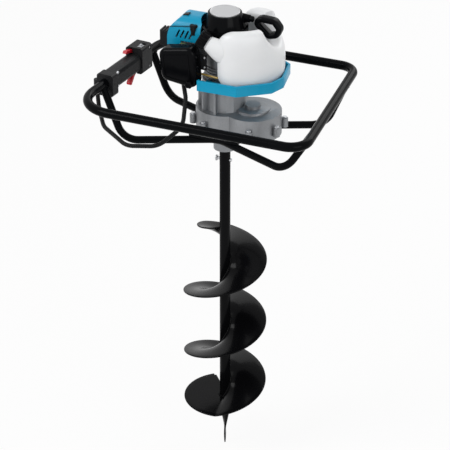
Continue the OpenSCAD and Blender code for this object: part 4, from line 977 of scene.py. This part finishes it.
FILTER_CORNERS = ((-125, DECK_Z + 94), (-36, DECK_Z + 110), (-27, DECK_Z + 7), (-117, DECK_Z + 19))
FILTER_BACK, FILTER_D, FILTER_R, FILTER_ROUND, ROUND_STEPS = 68.0, 32.0, 18.0, 9, 9
FILTER_LIP = ((0, 0), (0, 5), (0.8, 5.6), (0.8, 7), (0, 7.6))
FILTER_FACE = ((12, 32), (12.5, 31), (14.5, 31), (15, 32), (17.8, 32.2))
FILTER_KNOB = (-45.0, -FILTER_BACK - FILTER_D, DECK_Z + 22)
KNOB_ROWS = ((3, 0), (8.7, 0), (8.7, 9), (6.4, 12), (4, 12), (3.4, 11), (0.01, 11))
KNOB_ROUNDS, KNOB_LOBES, LOBE_SCALE = (0.6, 1.4, 1.0, 0.4, 0.4), 6, 0.09
GRIP_AT = np.array((53.0, 26.0, ROPE_Z))
GRIP_LINE = ((9, 0), (30, 6), (60, 4), (73, -12), (66, -28), (47, -33), (29, -17))
GRIP_BEND, GRIP_THICK, GRIP_WIDE, GRIP_SQUARE, GRIP_SIDES = 9.0, 14.0, 24.0, 0.55, 40
BOSS_ROWS, BOSS_ROUNDS = ((2.2, -2), (7, -2), (7, 6), (5, 8), (0.01, 8)), (0.8, 1.2, 0.8)
BADGE_ROWS = ((34, 0), (35, 0), (35, 3), (33, 3), (32.4, 2.3), (0.01, 2.6))
BADGE_ROUNDS = (0.05, 0.6, 0.5, 0.3)
SCREW_ROWS, SCREW_ROUNDS = ((0.01, 0), (2.6, 0), (2.6, 1.6), (0.01, 2)), (0.05, 0.5)
SCREW_X, SCREW_Y, SCREW_HEIGHTS = -22, -67.9, (1063, 1087)
TRIM_BARS = {
    "cover_seam": ("cylinder_cover", (-122, -42.15, 1138), (-57, -42.15, 1148.5), 0.6, -0.6, 2),
    "cover_latch": ("cylinder_cover", (-97, -17, 1159.2), (-84, -17, 1162.4), 2.4, -3.4, 13),
    "linkage_plate": ("air_filter_case", (-38, -67.9, 1075), (-17.5, -67.9, 1075), 19, -19, 3),
}
ENGINE_EDGES = {
    "cylinder_cover": 2.2, "recoil_housing": 1.6, "gearcase_lower": 1.5, "gearcase_upper": 1.5,
    "crankcase_lower": 0.7, "crankcase_upper": 0.8, "plug_cap": 1.2, "muffler": 3.0, "carburettor": 0.9,
    "insulator": 0.6, "air_filter_case": 0.8, "ignition_coil": 1.0, "case_bolts": 0.5, "cover_knob": 0.8,
    "choke_lever": 0.6, "throttle_arm": 0.5}


def filter_points():
    """Filter lid: the rounded outline moved in by each row's first figure and forward by its second."""
    line, ways = corner_arcs([(x, -FILTER_BACK, z) for x, z in FILTER_CORNERS], FILTER_R, steps=14, closed=True)
    outward = np.cross(ways, BACK)
    bend = np.linspace(0, np.pi / 2, ROUND_STEPS)
    inset, forward = FILTER_ROUND * (1 - np.cos(bend)), FILTER_D - FILTER_ROUND + FILTER_ROUND * np.sin(bend)
    rows = np.vstack([FILTER_LIP, np.column_stack([inset, forward]), FILTER_FACE])
    return line[None] - outward[None] * rows[:, None, :1] - rows[:, None, 1:] * BACK


def grip_points():
    """D-shaped grip: a soft rectangle carried round a closed line in the rope's plane."""
    path, ways = corner_arcs([GRIP_AT + (x, 0.0, z) for x, z in GRIP_LINE], GRIP_BEND, steps=12, closed=True)
    u, v = squarish(np.linspace(0, TURN, GRIP_SIDES, endpoint=False)[None, :, None], GRIP_SQUARE)
    return path[:, None] + np.cross(ways, BACK)[:, None] * (GRIP_THICK / 2 * u) + BACK * (GRIP_WIDE / 2 * v)


def knob_lobes(f, k):
    """Scale of the filter knob's radius: lobes, the same on every row k."""
    return 1 + LOBE_SCALE * np.cos(KNOB_LOBES * f)


def bar_points(start, end, high, low, back):
    """A four-sided bar from start to end, from high above that line to low under it, reaching back in Y."""
    corners = np.array([(0.0, 0.0, high), (0.0, 0.0, low), (0.0, back, low), (0.0, back, high)])
    return np.stack([np.asarray(end, float) + corners, np.asarray(start, float) + corners])


class AUGER_OT_engine(bpy.types.Operator):
    """Engine covers, castings, filter lid, starter grip, badge and small trim"""

    bl_idname = "auger.engine"
    bl_label = "Engine"

    def execute(self, context):
        for node, width in ENGINE_EDGES.items():
            rounded_copy(node, width * MM)
        dress(surface("air_filter_lid", filter_points()), "air_filter_cover", angle=30.0)
        knob = revolved(rounded(KNOB_ROWS, KNOB_ROUNDS), sides=120, ripple=knob_lobes)
        dress(surface("air_filter_knob_lobed", placed(knob, FILTER_KNOB, -BACK)), "air_filter_knob")
        boss = revolved(rounded(BOSS_ROWS, BOSS_ROUNDS), sides=40)
        boss = surface("grip_boss", placed(boss, GRIP_AT, (1, 0, 0)))
        ring = surface("grip_ring", grip_points(), closed=True)
        dress(joined("starter_grip_moulded", ring, boss), "starter_grip")
        for name, (node, *bar) in TRIM_BARS.items():
            dress(surface(name, bar_points(*bar)), node, "dark_plastic", replaces=False)
        head = revolved(rounded(SCREW_ROWS, SCREW_ROUNDS), sides=24)
        screws = [
            surface(f"linkage_screw_{z}", placed(head, (SCREW_X, SCREW_Y, z), -BACK)) for z in SCREW_HEIGHTS]
        dress(joined("linkage_screws", *screws), "air_filter_case", "zinc_steel", replaces=False)
        badge = revolved(rounded(BADGE_ROWS, BADGE_ROUNDS), sides=120)
        dress(surface("badge_disc", placed(badge, (0, 0, BADGE_Z), UP)), "recoil_badge", angle=30.0)
        return {"FINISHED"}


# Controls on the left bar

CONTROL_EDGES = {
    "throttle_housing_outer": 1.8, "throttle_housing_inner": 1.8, "cable_collar": 1.8, "throttle_trigger": 1.3,
    "lock_off_lever": 1.3, "stop_switch": 0.8, "throttle_screws": 0.4}


class AUGER_OT_controls(bpy.types.Operator):
    """Throttle housing, trigger, lock lever, switch and cable collar"""

    bl_idname = "auger.controls"
    bl_label = "Controls"

    def execute(self, context):
        for node, width in CONTROL_EDGES.items():
            rounded_copy(node, width * MM)
        return {"FINISHED"}


# Finishes of the CAD nodes that stay


class AUGER_OT_finishes(bpy.types.Operator):
    """Finishes for the CAD nodes, which show where no piece stands for them"""

    bl_idname = "auger.finishes"
    bl_label = "Finishes"

    def execute(self, context):
        for name, node in frame["nodes"].items():
            node.data.materials.clear()
            node.data.materials.append(FINISHES[SLOT_OF[name]])
        return {"FINISHED"}


GROUPS = (("auger_sizes", AugerSizes), ("auger_colours", AugerColours), ("auger_stage", AugerStage))
OPERATORS = (
    AUGER_OT_stage, AUGER_OT_cords, AUGER_OT_frame, AUGER_OT_bit, AUGER_OT_tank, AUGER_OT_engine,
    AUGER_OT_controls, AUGER_OT_finishes)


class AUGER_PT_panel(bpy.types.Panel):
    """Lists the steps of the build"""

    bl_idname = "AUGER_PT_panel"
    bl_label = "Earth auger"
    bl_space_type = "VIEW_3D"
    bl_region_type = "UI"
    bl_category = "Auger"

    def draw(self, context):
        for operator in OPERATORS:
            self.layout.operator(operator.bl_idname)


def register():
    for name, group in GROUPS:
        bpy.utils.register_class(group)
        setattr(bpy.types.Scene, name, PointerProperty(type=group))
    for kind in (*OPERATORS, AUGER_PT_panel):
        bpy.utils.register_class(kind)


def unregister():
    for kind in (AUGER_PT_panel, *reversed(OPERATORS)):
        bpy.utils.unregister_class(kind)
    for name, group in reversed(GROUPS):
        delattr(bpy.types.Scene, name)
        bpy.utils.unregister_class(group)


def main():
    register()
    FINISHES.update(make_finishes())
    for operator in OPERATORS:
        group, name = operator.bl_idname.split(".")
        getattr(getattr(bpy.ops, group), name)()


if __name__ == "__main__":
    main()
